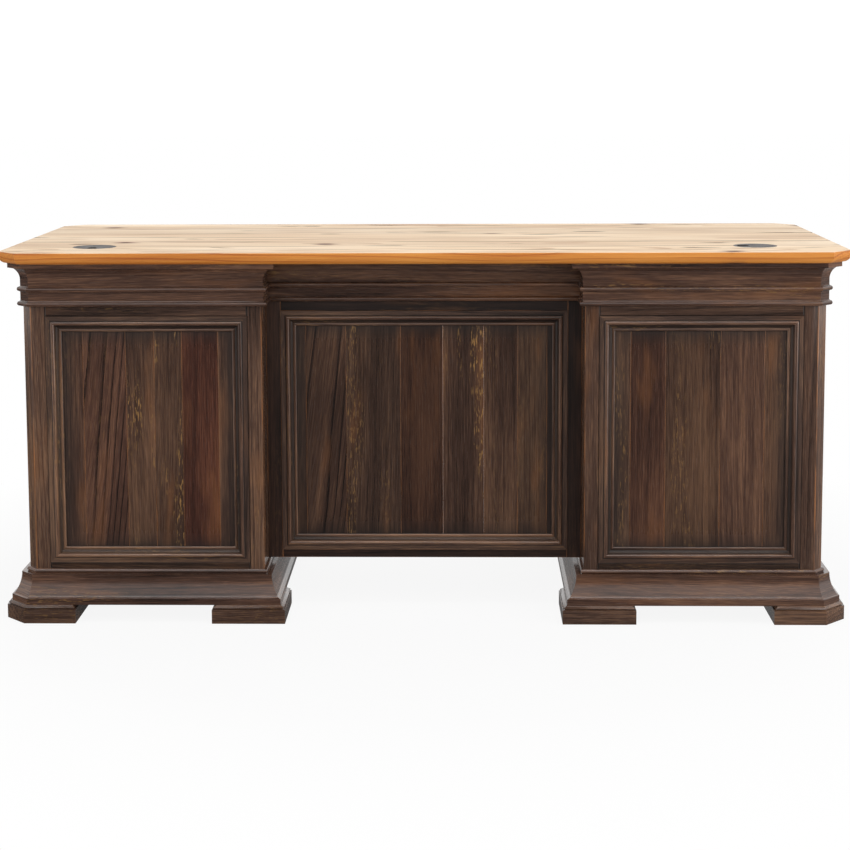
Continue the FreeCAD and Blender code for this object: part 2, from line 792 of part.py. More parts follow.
def drilled(item, label, x, front, length, z):
    """A board with a clearance hole for a knob's screw."""
    drill = doc.addObject("Part::Cylinder", f"{label}_drill")
    bind(drill, "Radius", size.stud_radius + size.stud_play)
    bind(drill, "Height", length)
    place(drill, x, front, z, turned(X_AXIS, -Z_AXIS))
    cut = doc.addObject("Part::Cut", label)
    cut.Base = item
    cut.Tool = drill
    return cut


def drawer_box(label, x, front, length, z, side):
    """Two sides, a back and a sub-front between them, and a bottom: five boards."""
    back = formula(front) - length
    wall = size.drawer_wall
    between = (x[0] + wall, x[1] - wall)
    heights = (z, z + side)
    floor = z + size.bottom_groove
    return {
        "low_side": board(f"{label}_low_side", (x[0], between[0]), (back, front), heights),
        "high_side": board(f"{label}_high_side", (between[1], x[1]), (back, front), heights),
        "back": board(f"{label}_back", between, (back, back + wall), heights),
        "sub_front": board(f"{label}_sub_front", between, (formula(front) - wall, front), heights),
        "bottom": board(f"{label}_bottom", between, (back + wall, formula(front) - wall),
                        (floor, floor + size.drawer_bottom)),
    }


def knob(label, x, y, z):
    """A turned knob on a drawer front, and the screw that holds it from inside the drawer."""
    socket = size.stud_radius + size.stud_play
    handle = revolved(f"{label}_turned", "XY_Plane", [
        (socket, 0),
        (size.knob_rose, 0),
        (size.knob_rose, size.knob_rose_thick, -size.knob_hollow),
        (size.knob_neck, size.knob_neck_end),
        (size.knob_radius, size.knob_shoulder, size.knob_crown),
        (size.knob_flat, size.knob_length),
        (0, size.knob_length),
        (0, size.stud_grip + size.stud_play),
        (socket, size.stud_grip + size.stud_play),
    ])
    through = size.front_thickness + size.drawer_wall
    head_end = size.stud_head_thick
    screw = revolved(f"{label}_screw", "XY_Plane", [
        (0, 0),
        (size.stud_head, 0),
        (size.stud_head, head_end),
        (size.stud_radius, head_end),
        (size.stud_radius, head_end + through + size.stud_grip),
        (0, head_end + through + size.stud_grip),
    ])
    place(handle, x, y, z)
    place(screw, x, formula(y) - through - head_end, z)
    return group(label, [handle, screw])


# Pedestal drawers: an upper one and a file drawer, inset in the frame on the sitter's side
field_face = body_y - size.panel_recess
front_back = field_face - size.front_thickness
front_edges = (post_edge + size.drawer_gap, stile_edge - size.drawer_gap)
box_edges = (post_edge + size.runner_thickness, stile_edge - size.runner_thickness)
knob_x = (post_edge + stile_edge) / 2
fixed_runners = []
cleats = []
pedestal_drawers = [
    ("left_upper_drawer", upper_opening_bottom, opening_top, size.upper_headroom, drawer_channel),
    ("left_file_drawer", opening_bottom, file_opening_top, size.file_headroom, file_channel),
]
for label, low, high, headroom, drawer_member in pedestal_drawers:
    knob_z = (low + high) / 2
    box_z = low + size.box_lift
    side = high - headroom - box_z
    runner_z = box_z + (side - size.runner_height) / 2
    runner_heights = (runner_z, runner_z + size.runner_height)
    bottom_edge = low + size.drawer_gap
    top_edge = high - size.drawer_gap

    front = board(f"{label}_front_board", front_edges, (front_back, field_face), (bottom_edge, top_edge))
    front = drilled(front, f"{label}_front_drilled", knob_x, front_back, size.front_thickness, knob_z)
    ring = moulding_ring(f"{label}_front_moulding", Y_AXIS, (0, field_face),
                         (-front_edges[1], bottom_edge), (-front_edges[0], top_edge))
    both_sides(group(f"{label}_front", [front] + ring))

    box = drawer_box(label, box_edges, front_back, size.drawer_length, box_z, side)
    box["sub_front"] = drilled(box["sub_front"], f"{label}_sub_front_drilled", knob_x,
                               front_back - size.drawer_wall, size.drawer_wall, knob_z)
    both_sides(group(f"{label}_box", list(box.values())))
    both_sides(knob(f"{label}_knob", knob_x, field_face, knob_z))

    members = (post_edge, stile_edge), front_back, size.drawer_length, runner_z
    both_sides(group(f"{label}_runners", runner_pair(f"{label}_runner", drawer_member, *members)))
    fixed_runners += runner_pair(f"{label}_fixed_runner", fixed_channel, *members)
    if drawer_member is file_channel:
        middles = runner_pair("left_file_middle_runner", middle_channel, *members)
        both_sides(group("left_file_middle_runners", middles))
        rail_heights = (box_z + side + size.hanging_rail_show - size.hanging_rail_height,
                        box_z + side + size.hanging_rail_show)
        rail_run = (front_back - size.drawer_length + size.drawer_wall, front_back - size.drawer_wall)
        rail_low = box_edges[0] + size.drawer_wall
        rail_high = box_edges[1] - size.drawer_wall
        both_sides(group("left_file_hanging_rails", [
            board("left_file_rail_low", (rail_low, rail_low + size.hanging_rail_thick),
                  rail_run, rail_heights),
            board("left_file_rail_high", (rail_high - size.hanging_rail_thick, rail_high),
                  rail_run, rail_heights),
        ]))

    cleats.append(board(f"{label}_outer_cleat", (-frame_back_x, post_edge), (-post_y, post_y),
                        runner_heights))
    cleats.append(board(f"{label}_knee_cleat", (stile_edge, -gable_inside),
                        (-frame_back_y, frame_back_y), runner_heights))
both_sides(group("left_fixed_runners", fixed_runners))

# Cleats: the strips that carry the runners, and the two under the top that take its screws
cleat_heights = (top_under - size.cleat_thickness, top_under)
cleat_inner = frame_back_y - size.cleat_width
cleats.append(board("left_visitor_top_cleat", (post_edge, -gable_inside),
                    (-frame_back_y, -cleat_inner), cleat_heights))
cleats.append(board("left_sitter_top_cleat", (post_edge, -gable_inside),
                    (cleat_inner, frame_back_y), cleat_heights))
both_sides(group("left_cleats", cleats))

# Centre drawer between the gables. Its front carries a length of the cornice, so the cornice runs on
# across the sitter's side, and it is drawn out by the cornice's lower bead.
centre_edge = knee_x - size.drawer_gap
centre_front_top = top_under - size.drawer_gap
keep("centre_drawer_front", board("centre_drawer_front", (-centre_edge, centre_edge),
                                  (body_y - size.front_thickness, body_y),
                                  (cornice_bottom, centre_front_top)))
centre_cornice_tall = size.cornice_height - size.drawer_gap - SAW_MARGIN
keep("centre_drawer_cornice", trim_length("centre_drawer_cornice", cornice_section, size.cornice_out,
                                          centre_cornice_tall, Y_AXIS, (centre_edge, body_y),
                                          cornice_bottom, centre_edge * 2, (SQUARE_ANGLE, SQUARE_ANGLE)))
centre_back = body_y - size.front_thickness
centre_length = centre_back - modesty_back - size.centre_room_behind
centre_box_edge = knee_x - size.runner_thickness
centre_z = top_under - size.centre_drop - size.centre_side
group("centre_drawer_box", list(drawer_box("centre_drawer", (-centre_box_edge, centre_box_edge), centre_back,
                                           centre_length, centre_z, size.centre_side).values()))
centre_runner_z = centre_z + (size.centre_side - size.runner_height) / 2
centre_members = (-knee_x, knee_x), centre_back, centre_length, centre_runner_z
group("centre_drawer_runners", runner_pair("centre_drawer_runner", drawer_channel, *centre_members))
group("centre_fixed_runners", runner_pair("centre_fixed_runner", fixed_channel, *centre_members))


# Screws: up through the top cleats into the top, and through each gable into the modesty frame
def screw(label, length, x, y, z, rotation):
    head = doc.addObject("Part::Cone", f"{label}_head")
    bind(head, "Radius1", size.screw_head)
    bind(head, "Radius2", size.screw_radius)
    bind(head, "Height", size.screw_head_thick)
    shank = doc.addObject("Part::Cylinder", f"{label}_shank")
    bind(shank, "Radius", size.screw_radius)
    bind(shank, "Height", length)
    whole = doc.addObject("Part::Fuse", label)
    whole.Base = head
    whole.Tool = shank
    return place(whole, x, y, z, rotation)


screws = []
cleat_middle = frame_back_y - size.cleat_width / 2
for row, y in (("visitor", -cleat_middle), ("sitter", cleat_middle)):
    for end, x in (("outer", post_edge + size.screw_inset), ("knee", -(gable_inside + size.screw_inset))):
        screws.append(screw(f"left_top_screw_{row}_{end}", size.top_screw_length, x, y,
                            top_under - size.cleat_thickness, FreeCAD.Rotation()))
low_screw = modesty_opening_bottom + size.screw_inset
high_screw = opening_top - size.screw_inset / 2
frame_screw_y = modesty_face + size.frame_thickness / 2
for level, z in (("low", low_screw), ("middle", (low_screw + high_screw) / 2), ("high", high_screw)):
    screws.append(screw(f"left_frame_screw_{level}", size.frame_screw_length, -gable_inside,
                        frame_screw_y, z, turned(Y_AXIS, Z_AXIS)))
right_screws = [mirrored(item.Label.replace("left_", "right_"), item) for item in screws]
group("assembly_screws", screws + right_screws)

# Nothing is written unless every object was rebuilt without a fault.
doc.recompute()
for item in doc.Objects:
    if {"Invalid", "Error"} & set(item.State):
        raise RuntimeError(f"{item.Label} could not be rebuilt: {item.State}")
for item in nodes:
    if item.Shape.isNull() or not item.Shape.isValid() or not item.Shape.Solids:
        raise RuntimeError(f"{item.Label} has no valid solid")
os.makedirs("parts", exist_ok=True)
for item in nodes:
    item.Shape.exportStep(f"parts/{item.Label}.step")
    print(item.Label, len(item.Shape.Solids), "solids", round(item.Shape.Volume / 1000), "cm3")
print(len(nodes), "nodes")
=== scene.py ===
import math
import random

import bmesh
import bpy
from mathutils import Matrix, Vector


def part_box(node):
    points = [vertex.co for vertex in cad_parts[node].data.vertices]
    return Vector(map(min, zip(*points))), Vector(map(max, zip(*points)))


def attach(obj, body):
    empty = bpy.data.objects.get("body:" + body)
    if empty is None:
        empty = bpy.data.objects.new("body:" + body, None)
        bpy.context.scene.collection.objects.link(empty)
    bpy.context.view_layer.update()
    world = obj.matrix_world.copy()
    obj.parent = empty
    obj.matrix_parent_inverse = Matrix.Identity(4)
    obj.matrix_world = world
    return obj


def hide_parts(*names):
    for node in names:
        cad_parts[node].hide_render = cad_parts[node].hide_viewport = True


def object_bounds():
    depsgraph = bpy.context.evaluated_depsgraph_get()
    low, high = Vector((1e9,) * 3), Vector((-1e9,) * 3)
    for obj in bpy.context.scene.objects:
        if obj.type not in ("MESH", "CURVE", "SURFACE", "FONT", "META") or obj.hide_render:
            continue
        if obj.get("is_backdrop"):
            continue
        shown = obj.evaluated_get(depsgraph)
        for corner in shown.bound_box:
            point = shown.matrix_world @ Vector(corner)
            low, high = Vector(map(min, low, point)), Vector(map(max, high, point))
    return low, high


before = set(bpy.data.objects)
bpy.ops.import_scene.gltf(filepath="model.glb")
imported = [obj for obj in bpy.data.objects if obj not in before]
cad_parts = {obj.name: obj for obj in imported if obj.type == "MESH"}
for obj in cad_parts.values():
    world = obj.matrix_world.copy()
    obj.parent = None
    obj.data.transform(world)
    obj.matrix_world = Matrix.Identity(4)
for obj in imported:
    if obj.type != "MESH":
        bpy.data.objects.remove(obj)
cad_low, cad_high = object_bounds()

# Pedestal frames: clipped corner posts, stiles and rails of solid hardwood, butted and glued, with every
# arris eased by hand. They are stained ebony brown, rubbed back to the wood on the edges and lacquered.
RUNS = [Vector((1, 0, 0)), Vector((0, 1, 0)), Vector((0, 0, 1)),
        Vector((1, 1, 0)).normalized(), Vector((1, -1, 0)).normalized()]
FLAT_ANGLE = 0.004
ARRIS_ANGLE = 0.45
CREVICE_ANGLE = 0.35
SMOOTH_ANGLE = 0.3
BROAD_AREA, BROAD_ANGLE = 0.03, 0.01


def solids_in(mesh):
    """Parts a mesh into its closed solids, each a list of faces given by their corners."""
    solids, faces, open_sides = [], [], set()
    for face in mesh.polygons:
        corners = [tuple(round(c, 6) for c in mesh.vertices[index].co) for index in face.vertices]
        for side in zip(corners, corners[1:] + corners[:1]):
            if side[::-1] in open_sides:
                open_sides.remove(side[::-1])
            else:
                open_sides.add(side)
        faces.append(corners)
        if not open_sides:
            solids.append(faces)
            faces = []
    return solids


def cad_solids(node):
    """The closed solids of a CAD node."""
    return solids_in(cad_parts[node].data)


def whole_solid(faces):
    """A bmesh of one closed solid, with its flat sides made whole again."""
    solid = bmesh.new()
    spots = {}
    for corners in faces:
        for corner in corners:
            if corner not in spots:
                spots[corner] = solid.verts.new(corner)
        solid.faces.new([spots[corner] for corner in corners])
    bmesh.ops.dissolve_limit(solid, angle_limit=FLAT_ANGLE, verts=solid.verts, edges=solid.edges)
    return solid


def is_arris(edge):
    """Whether an edge stands out sharply."""
    return edge.is_manifold and edge.is_convex and edge.calc_face_angle() > ARRIS_ANGLE


def is_crevice(edge):
    """Whether an edge lies in a sharp inside corner."""
    return edge.is_manifold and not edge.is_convex and edge.calc_face_angle() > CREVICE_ANGLE


class Stock:
    """The solids of one piece. Each is a board with its own run of grain and shade, kept in the mesh's
    attributes: grain is a place in the board, along it, across it and through it; board holds its
    shade, its redness, how far its stain is rubbed through and how plain its rings are; darkening is how
    much darker it is made: dark glazing and painted shade, a dull stain or an open joint;
    wear_dirt_and_shade is over 0 on rubbed arrises, and under 0 in dirty joints and in filled crevices
    that are painted dark as shade and glazing."""

    def __init__(self, name):
        self.name = name
        self.chance = random.Random(name)
        self.spots, self.faces, self.sharp = [], [], []
        self.grain, self.board, self.glaze, self.wear_dirt_and_shade = [], [], [], []

    def add(self, solid, runs=RUNS, ease=0.0007, arris=is_arris, shade=None, red=0.0, rubbed=0.3, rings=0.4,
            slope=None, glaze=None, wear=None, gather=0.0):
        """Adds a solid: ease is the width of its rounded arrises, gather that of its filled
        crevices, which are painted dark as shade and glazing, and slope how far its grain leans. Rubbed may
        be a function of a spot, as darkening is, and wear one of a face's middle and whether the face is
        eased."""
        def rounded(edges, width, segments):
            if not edges or not width:
                return set()
            return set(bmesh.ops.bevel(solid, geom=edges, offset=width, offset_type="OFFSET",
                                       segments=segments, profile=0.5, affect="EDGES",
                                       clamp_overlap=True)["faces"])

        solid.normal_update()
        # The filled inside corners are painted dark later: painted shade and dark glazing.
        gathered = rounded([edge for edge in solid.edges if is_crevice(edge)], gather, 1)
        solid.normal_update()
        eased = rounded([edge for edge in solid.edges if arris(edge)], ease, 2)
        gathered = {face for face in gathered if face.is_valid}
        solid.normal_update()

        def reach(run):
            places = [vert.co.dot(run) for vert in solid.verts]
            return max(places) - min(places)

        along = max(runs, key=reach)
        across = max((run for run in RUNS if abs(run.dot(along)) < 0.01), key=reach)
        through = along.cross(across)
        middle = sum((vert.co for vert in solid.verts), Vector()) / len(solid.verts)
        start = self.chance.uniform(-4, 4)
        heart = (self.chance.uniform(-0.09, 0.09), self.chance.uniform(0.03, 0.14))
        lean = self.chance.uniform(-0.03, 0.03) if slope is None else slope
        tint = self.chance.uniform(-1, 1) if shade is None else shade
        first = len(self.spots)
        for index, vert in enumerate(solid.verts):
            vert.index = index
            place = vert.co - middle
            run = place.dot(along)
            self.spots.append(vert.co[:])
            self.grain += [run + start, place.dot(across) + heart[0] + lean * run,
                           place.dot(through) + heart[1]]
            self.board += [tint, red, rubbed(vert.co) if callable(rubbed) else rubbed, rings]
            self.glaze.append(glaze(vert.co) if glaze else 0.0)
        for face in solid.faces:
            self.faces.append([first + vert.index for vert in face.verts])
            exposed = wear(face.calc_center_median(), face in eased) if wear else float(face in eased)
            self.wear_dirt_and_shade.append(-1.0 if face in gathered else exposed)
        # The edges of broad faces stay sharp, so that these faces shade flat.
        for edge in solid.edges:
            broad = max(face.calc_area() for face in edge.link_faces) > BROAD_AREA
            if not edge.is_manifold or edge.calc_face_angle() > (BROAD_ANGLE if broad else SMOOTH_ANGLE):
                self.sharp.append(tuple(sorted(first + vert.index for vert in edge.verts)))
        solid.free()

    def piece(self, finish):
        """The object that holds all the solids, in one finish."""
        mesh = bpy.data.meshes.new(self.name)
        mesh.from_pydata(self.spots, [], self.faces)
        mesh.attributes.new("grain", "FLOAT_VECTOR", "POINT").data.foreach_set("vector", self.grain)
        mesh.attributes.new("board", "FLOAT_COLOR", "POINT").data.foreach_set("color", self.board)
        mesh.attributes.new("glaze", "FLOAT", "POINT").data.foreach_set("value", self.glaze)
        mesh.attributes.new("wear_dirt_and_shade", "FLOAT", "FACE").data.foreach_set("value", self.wear_dirt_and_shade)
        mesh.polygons.foreach_set("use_smooth", [True] * len(mesh.polygons))
        sharp = set(self.sharp)
        for edge in mesh.edges:
            edge.use_edge_sharp = tuple(sorted(edge.vertices)) in sharp
        mesh.materials.append(finish)
        item = bpy.data.objects.new(self.name, mesh)
        bpy.context.scene.collection.objects.link(item)
        return item


def fit(item, body, slot, *nodes):
    """Puts a finished piece on its body in place of its plain solids."""
    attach(item, body)
    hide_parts(*nodes)


def set_input(tree, socket, value):
    """Links a socket to another one, or sets its value."""
    if isinstance(value, bpy.types.NodeSocket):
        tree.links.new(value, socket)
    else:
        socket.default_value = value


def add_node(tree, kind, inputs=None, **settings):
    """A node with its settings made and its inputs set or linked."""
    item = tree.nodes.new(kind)
    for key, value in settings.items():
        setattr(item, key, value)
    for key, value in (inputs or {}).items():
        set_input(tree, item.inputs[key], value)
    return item


def sums(tree, operation, *values):
    """The result of a Math node."""
    return add_node(tree, "ShaderNodeMath", dict(enumerate(values)), operation=operation).outputs[0]


def rest_of(tree, value):
    """What a value leaves of 1."""
    return sums(tree, "SUBTRACT", 1.0, value)


def mixture(tree, *parts):
    """The sum of values, each times its own share."""
    shares = [sums(tree, "MULTIPLY", value, share) for value, share in parts]
    total = shares[0]
    for share in shares[1:]:
        total = sums(tree, "ADD", total, share)
    return total


def ease_in(tree, value, low, high):
    """0 below low, 1 above high and a soft step between them."""
    step = add_node(tree, "ShaderNodeMapRange", {"Value": value, "From Min": low, "From Max": high},
                    interpolation_type="SMOOTHSTEP")
    return step.outputs["Result"]


def blend(tree, factor, first, second, way="MIX"):
    """A mix of two colours."""
    mix = add_node(tree, "ShaderNodeMix", data_type="RGBA", blend_type=way)
    for socket, value in zip((mix.inputs[0], mix.inputs[6], mix.inputs[7]), (factor, first, second)):
        set_input(tree, socket, value)
    return mix.outputs[2]


def stretched(tree, vector, scale, detail=2.0, rough=0.5):
    """Noise on a vector that is stretched along each axis by its own scale."""
    place = add_node(tree, "ShaderNodeVectorMath", {0: vector, 1: scale}, operation="MULTIPLY").outputs[0]
    noise = add_node(tree, "ShaderNodeTexNoise", {"Vector": place, "Scale": 1.0, "Detail": detail,
                                                  "Roughness": rough})
    return noise.outputs["Fac"]


def ramp(tree, value, stops):
    """Colours laid along a value."""
    item = add_node(tree, "ShaderNodeValToRGB", {"Fac": value})
    band = item.color_ramp.elements
    while len(band) < len(stops):
        band.new(0.5)
    for mark, (place, colour) in zip(band, stops):
        mark.position = place
        mark.color = colour
    return item.outputs["Color"]


def toned(tree, colour, value):
    """A colour made lighter or darker by a value."""
    return add_node(tree, "ShaderNodeHueSaturation", {"Color": colour, "Value": value}).outputs["Color"]


def paint(red, green, blue):
    """A colour as read off a screen, from 0 to 255, as the shader wants it."""
    def linear(part):
        part /= 255
        return part / 12.92 if part <= 0.04045 else ((part + 0.055) / 1.055) ** 2.4
    return (linear(red), linear(green), linear(blue), 1.0)


def new_group(name, kind, inputs, outputs):
    """A node group with its sockets, each a label and a type: the group, what it gets and what it gives."""
    group = bpy.data.node_groups.new(name, kind)
    for in_out, sockets in (("OUTPUT", outputs), ("INPUT", inputs)):
        for label, socket_type in sockets.items():
            group.interface.new_socket(label, in_out=in_out, socket_type=socket_type)
    return group, group.nodes.new("NodeGroupInput").outputs, group.nodes.new("NodeGroupOutput").inputs


FLOAT, VECTOR = "NodeSocketFloat", "NodeSocketVector"
wood_figure, given, made = new_group(
    "wood_figure", "ShaderNodeTree", {"Grain": VECTOR, "Ring Width": FLOAT, "Waver": FLOAT},
    {"Rings": FLOAT, "Fibre": FLOAT, "Pores": FLOAT, "Patches": FLOAT})
grain = given["Grain"]
place = add_node(wood_figure, "ShaderNodeSeparateXYZ", {0: grain}).outputs
sway = sums(wood_figure, "SUBTRACT", stretched(wood_figure, grain, (1.3, 6.0, 6.0)), 0.5)
sway = sums(wood_figure, "MULTIPLY", sway, given["Waver"])
square = sums(wood_figure, "ADD", sums(wood_figure, "POWER", place["Y"], 2.0),
              sums(wood_figure, "POWER", place["Z"], 2.0))
radius = sums(wood_figure, "ADD", sums(wood_figure, "SQRT", square), sway)
year = sums(wood_figure, "FRACT", sums(wood_figure, "DIVIDE", radius, given["Ring Width"]))
late_wood = sums(wood_figure, "MULTIPLY", ease_in(wood_figure, year, 0.62, 0.93),
                 rest_of(wood_figure, ease_in(wood_figure, year, 0.94, 1.0)))
fibre = stretched(wood_figure, grain, (5.0, 330.0, 330.0), detail=3.0, rough=0.6)
pores = ease_in(wood_figure, stretched(wood_figure, grain, (24.0, 800.0, 800.0)), 0.6, 0.74)
patches = stretched(wood_figure, grain, (1.8, 9.0, 9.0))
for label, value in (("Rings", late_wood), ("Fibre", fibre), ("Pores", pores), ("Patches", patches)):
    wood_figure.links.new(value, made[label])


def figured(tree, grain, ring_width, waver):
    """The wood figure on a board's grain."""
    return add_node(tree, "ShaderNodeGroup", {"Grain": grain, "Ring Width": ring_width, "Waver": waver},
                    node_tree=wood_figure).outputs


def start_finish(name):
    """A new material, its tree and its shader."""
    finish = bpy.data.materials.new(name)
    finish.use_nodes = True
    return finish, finish.node_tree, finish.node_tree.nodes["Principled BSDF"]


def attribute(tree, name):
    """What a mesh's attribute holds."""
    return add_node(tree, "ShaderNodeAttribute", attribute_name=name).outputs


def board_marks(tree):
    """The grain of each board and its four marks."""
    board = attribute(tree, "board")
    marks = add_node(tree, "ShaderNodeSeparateColor", {0: board["Color"]}).outputs
    return attribute(tree, "grain")["Vector"], {"Shade": marks[0], "Red": marks[1], "Rubbed": marks[2],
                                                "Rings": board["Alpha"]}


def board_shade(tree, marks, share):
    """How light a board is, about 1, from its mark."""
    return sums(tree, "ADD", 1.0, sums(tree, "MULTIPLY", marks["Shade"], share))


def raise_grain(tree, shader, height, strength, distance):
    """Gives a shader the bumps of a height."""
    bump = add_node(tree, "ShaderNodeBump", {"Height": height, "Strength": strength, "Distance": distance})
    tree.links.new(bump.outputs["Normal"], shader.inputs["Normal"])


ebony_stain, tree, shader = start_finish("ebony_stain")
stain_dark, stain_middle, stain_light = paint(30, 19, 14), paint(71, 51, 41), paint(126, 94, 70)
red_stain = paint(235, 160, 148)
thin_stain = paint(134, 86, 50)
fleck_wood = paint(152, 114, 66)
edge_wood = paint(150, 98, 58)
grain, marks = board_marks(tree)
figure = figured(tree, grain, ring_width=0.0095, waver=0.02)
streaks = stretched(tree, grain, (1.6, 46.0, 46.0))
hairs = stretched(tree, grain, (22.0, 700.0, 700.0), rough=0.6)
ringed = sums(tree, "MULTIPLY", figure["Rings"], marks["Rings"])
depth = mixture(tree, (figure["Patches"], 0.42), (streaks, 0.16), (figure["Fibre"], 0.2), (hairs, 0.38),
                (ringed, -0.17))
stain = ramp(tree, depth, [(0.38, stain_dark), (0.56, stain_middle), (0.77, stain_light)])
stain = blend(tree, sums(tree, "MULTIPLY", marks["Red"], 0.85), stain, red_stain, "MULTIPLY")
wear_dirt_and_shade = attribute(tree, "wear_dirt_and_shade")["Fac"]
# Darkened spots: painted shade and dark glazing in the filled crevices and where darkening is set, and dirt
# in the joints. They make the stain darker, rougher and less polished.
darkened = sums(tree, "MAXIMUM", sums(tree, "MULTIPLY", wear_dirt_and_shade, -0.9),
               sums(tree, "MULTIPLY", attribute(tree, "glaze")["Fac"], 0.55))
clear = rest_of(tree, darkened)
stain = toned(tree, stain, sums(tree, "MULTIPLY", board_shade(tree, marks, 0.17), clear))
thin = ease_in(tree, stretched(tree, grain, (3.4, 17.0, 17.0), detail=3.0, rough=0.6), 0.54, 0.74)
thin = sums(tree, "MULTIPLY", sums(tree, "MULTIPLY", thin, clear), 0.32)
stain = blend(tree, thin, stain, thin_stain)
flecks = sums(tree, "MULTIPLY",
              ease_in(tree, stretched(tree, grain, (55.0, 380.0, 380.0), rough=0.6), 0.56, 0.64),
              ease_in(tree, stretched(tree, grain, (2.5, 22.0, 22.0)), 0.52, 0.66))
stain = blend(tree, sums(tree, "MULTIPLY", flecks, marks["Rubbed"]), stain, fleck_wood)
edge_rub = ease_in(tree, stretched(tree, grain, (9.0, 60.0, 60.0), detail=3.0), 0.36, 0.62)
edge_rub = sums(tree, "MULTIPLY", sums(tree, "MULTIPLY", edge_rub, sums(tree, "MAXIMUM", wear_dirt_and_shade, 0.0)), 0.85)
tree.links.new(blend(tree, edge_rub, stain, edge_wood), shader.inputs["Base Color"])
dull = mixture(tree, (figure["Fibre"], 0.14), (figure["Pores"], 0.12), (darkened, 0.5))
tree.links.new(sums(tree, "ADD", 0.18, dull), shader.inputs["Roughness"])
tree.links.new(sums(tree, "MULTIPLY", clear, 0.4), shader.inputs["Coat Weight"])
height = mixture(tree, (figure["Fibre"], 0.6), (figure["Pores"], -1.0), (figure["Rings"], -0.4))
raise_grain(tree, shader, height, strength=0.1, distance=0.0004)
shader.inputs["Specular IOR Level"].default_value = 0.4
shader.inputs["Coat Roughness"].default_value = 0.14

knee_face = 0.3285
knee_face_wear = 0.55
knee_arris_width, knee_arris_start = 0.004, 0.305
clip_start = Vector((0.797, 0.289))
joint_dirt = -0.7


def handled(spot, eased):
    """Over 0 on the arrises that hands and chairs reach, and under 0 in the joints between boards."""
    off_knee_face = abs(abs(spot.x) - knee_face)
    if off_knee_face < 0.0004:
        return knee_face_wear
    knee = off_knee_face < knee_arris_width and abs(spot.y) > knee_arris_start
    corner = abs(spot.x) > clip_start.x and abs(spot.y) > clip_start.y
    return (1.0 if knee or corner else joint_dirt) if eased else 0.0


# The rails near the floor are made darker than the rest of the frame: painted shade.
low_rail_height, low_rail_painted_shade = 0.3, -2.6
for side, part, tone in (("left", "posts", 2.1), ("left", "rails", 2.4), ("right", "posts", 1.5),
                         ("right", "rails", 1.2)):
    timber = Stock(f"{side}_frame_{part}")
    for solid in cad_solids(f"{side}_{part}"):
        upper = max(corner[2] for face in solid for corner in face)
        low_rail = part == "rails" and upper < low_rail_height
        shade = (low_rail_painted_shade if low_rail else tone) + timber.chance.uniform(-0.5, 0.5)
        timber.add(whole_solid(solid), ease=0.0018, shade=shade, wear=handled)
    fit(timber.piece(ebony_stain), "carcass", "base_wood", f"{side}_{part}")

# Pedestal and modesty panels: upright boards of mixed widths glued edge to edge, each a little different in
# colour, with a fine V where they meet. They sit loose in the frames, behind the mouldings.
GEOMETRY = "NodeSocketGeometry"
panel_boards, given, made = new_group(
    "panel_boards", "GeometryNodeTree", {"Board Centres": GEOMETRY, "Board Height": FLOAT,
                                         "Board Thickness": FLOAT, "Joint": FLOAT, "Turn": FLOAT},
    {"Geometry": GEOMETRY})
wide = add_node(panel_boards, "GeometryNodeInputNamedAttribute", {"Name": "wide"}).outputs[0]
plain_board = add_node(panel_boards, "GeometryNodeMeshCube", {"Size": (1, 1, 1)}).outputs["Mesh"]
planed = add_node(panel_boards, "ShaderNodeCombineXYZ", {
    "X": sums(panel_boards, "SUBTRACT", wide, given["Joint"]), "Y": given["Board Thickness"],
    "Z": given["Board Height"]}).outputs[0]
turn = add_node(panel_boards, "ShaderNodeCombineXYZ", {"Z": given["Turn"]}).outputs[0]
stood = add_node(panel_boards, "GeometryNodeInstanceOnPoints", {
    "Points": given["Board Centres"], "Instance": plain_board, "Rotation": turn, "Scale": planed}).outputs[0]


def made_real(tree, instances, finish):
    """A geometry tree's instances made one mesh, in their finish."""
    real = add_node(tree, "GeometryNodeRealizeInstances", {"Geometry": instances}).outputs[0]
    return add_node(tree, "GeometryNodeSetMaterial", {"Geometry": real, "Material": finish}).outputs[0]


panel_boards.links.new(made_real(panel_boards, stood, ebony_stain), made["Geometry"])


def made_by(tree, mesh, sizes):
    """The plain mesh that a geometry tree makes of a mesh, with its inputs set to the sizes."""
    item = bpy.data.objects.new("making", mesh)
    bpy.context.scene.collection.objects.link(item)
    maker = item.modifiers.new("making", "NODES")
    maker.node_group = tree
    for socket in tree.interface.items_tree:
        if socket.name in sizes:
            maker[socket.identifier] = sizes[socket.name]
    result = bpy.data.meshes.new_from_object(item.evaluated_get(bpy.context.evaluated_depsgraph_get()))
    bpy.data.objects.remove(item)
    return result


def saw(solid, place, square, **waste):
    """Cuts a solid along the plane that lies square to a line at a place."""
    bmesh.ops.bisect_plane(solid, geom=solid.verts[:] + solid.edges[:] + solid.faces[:], plane_co=place,
                           plane_no=square, **waste)


board_gap = 0.0002
sight_line = 0.032
# Each panel is made darker towards its mouldings over this width inside the sight line: painted shade and
# dark glazing.
glaze_width = 0.04
glaze_steps = 3
ring_lean = 0.05


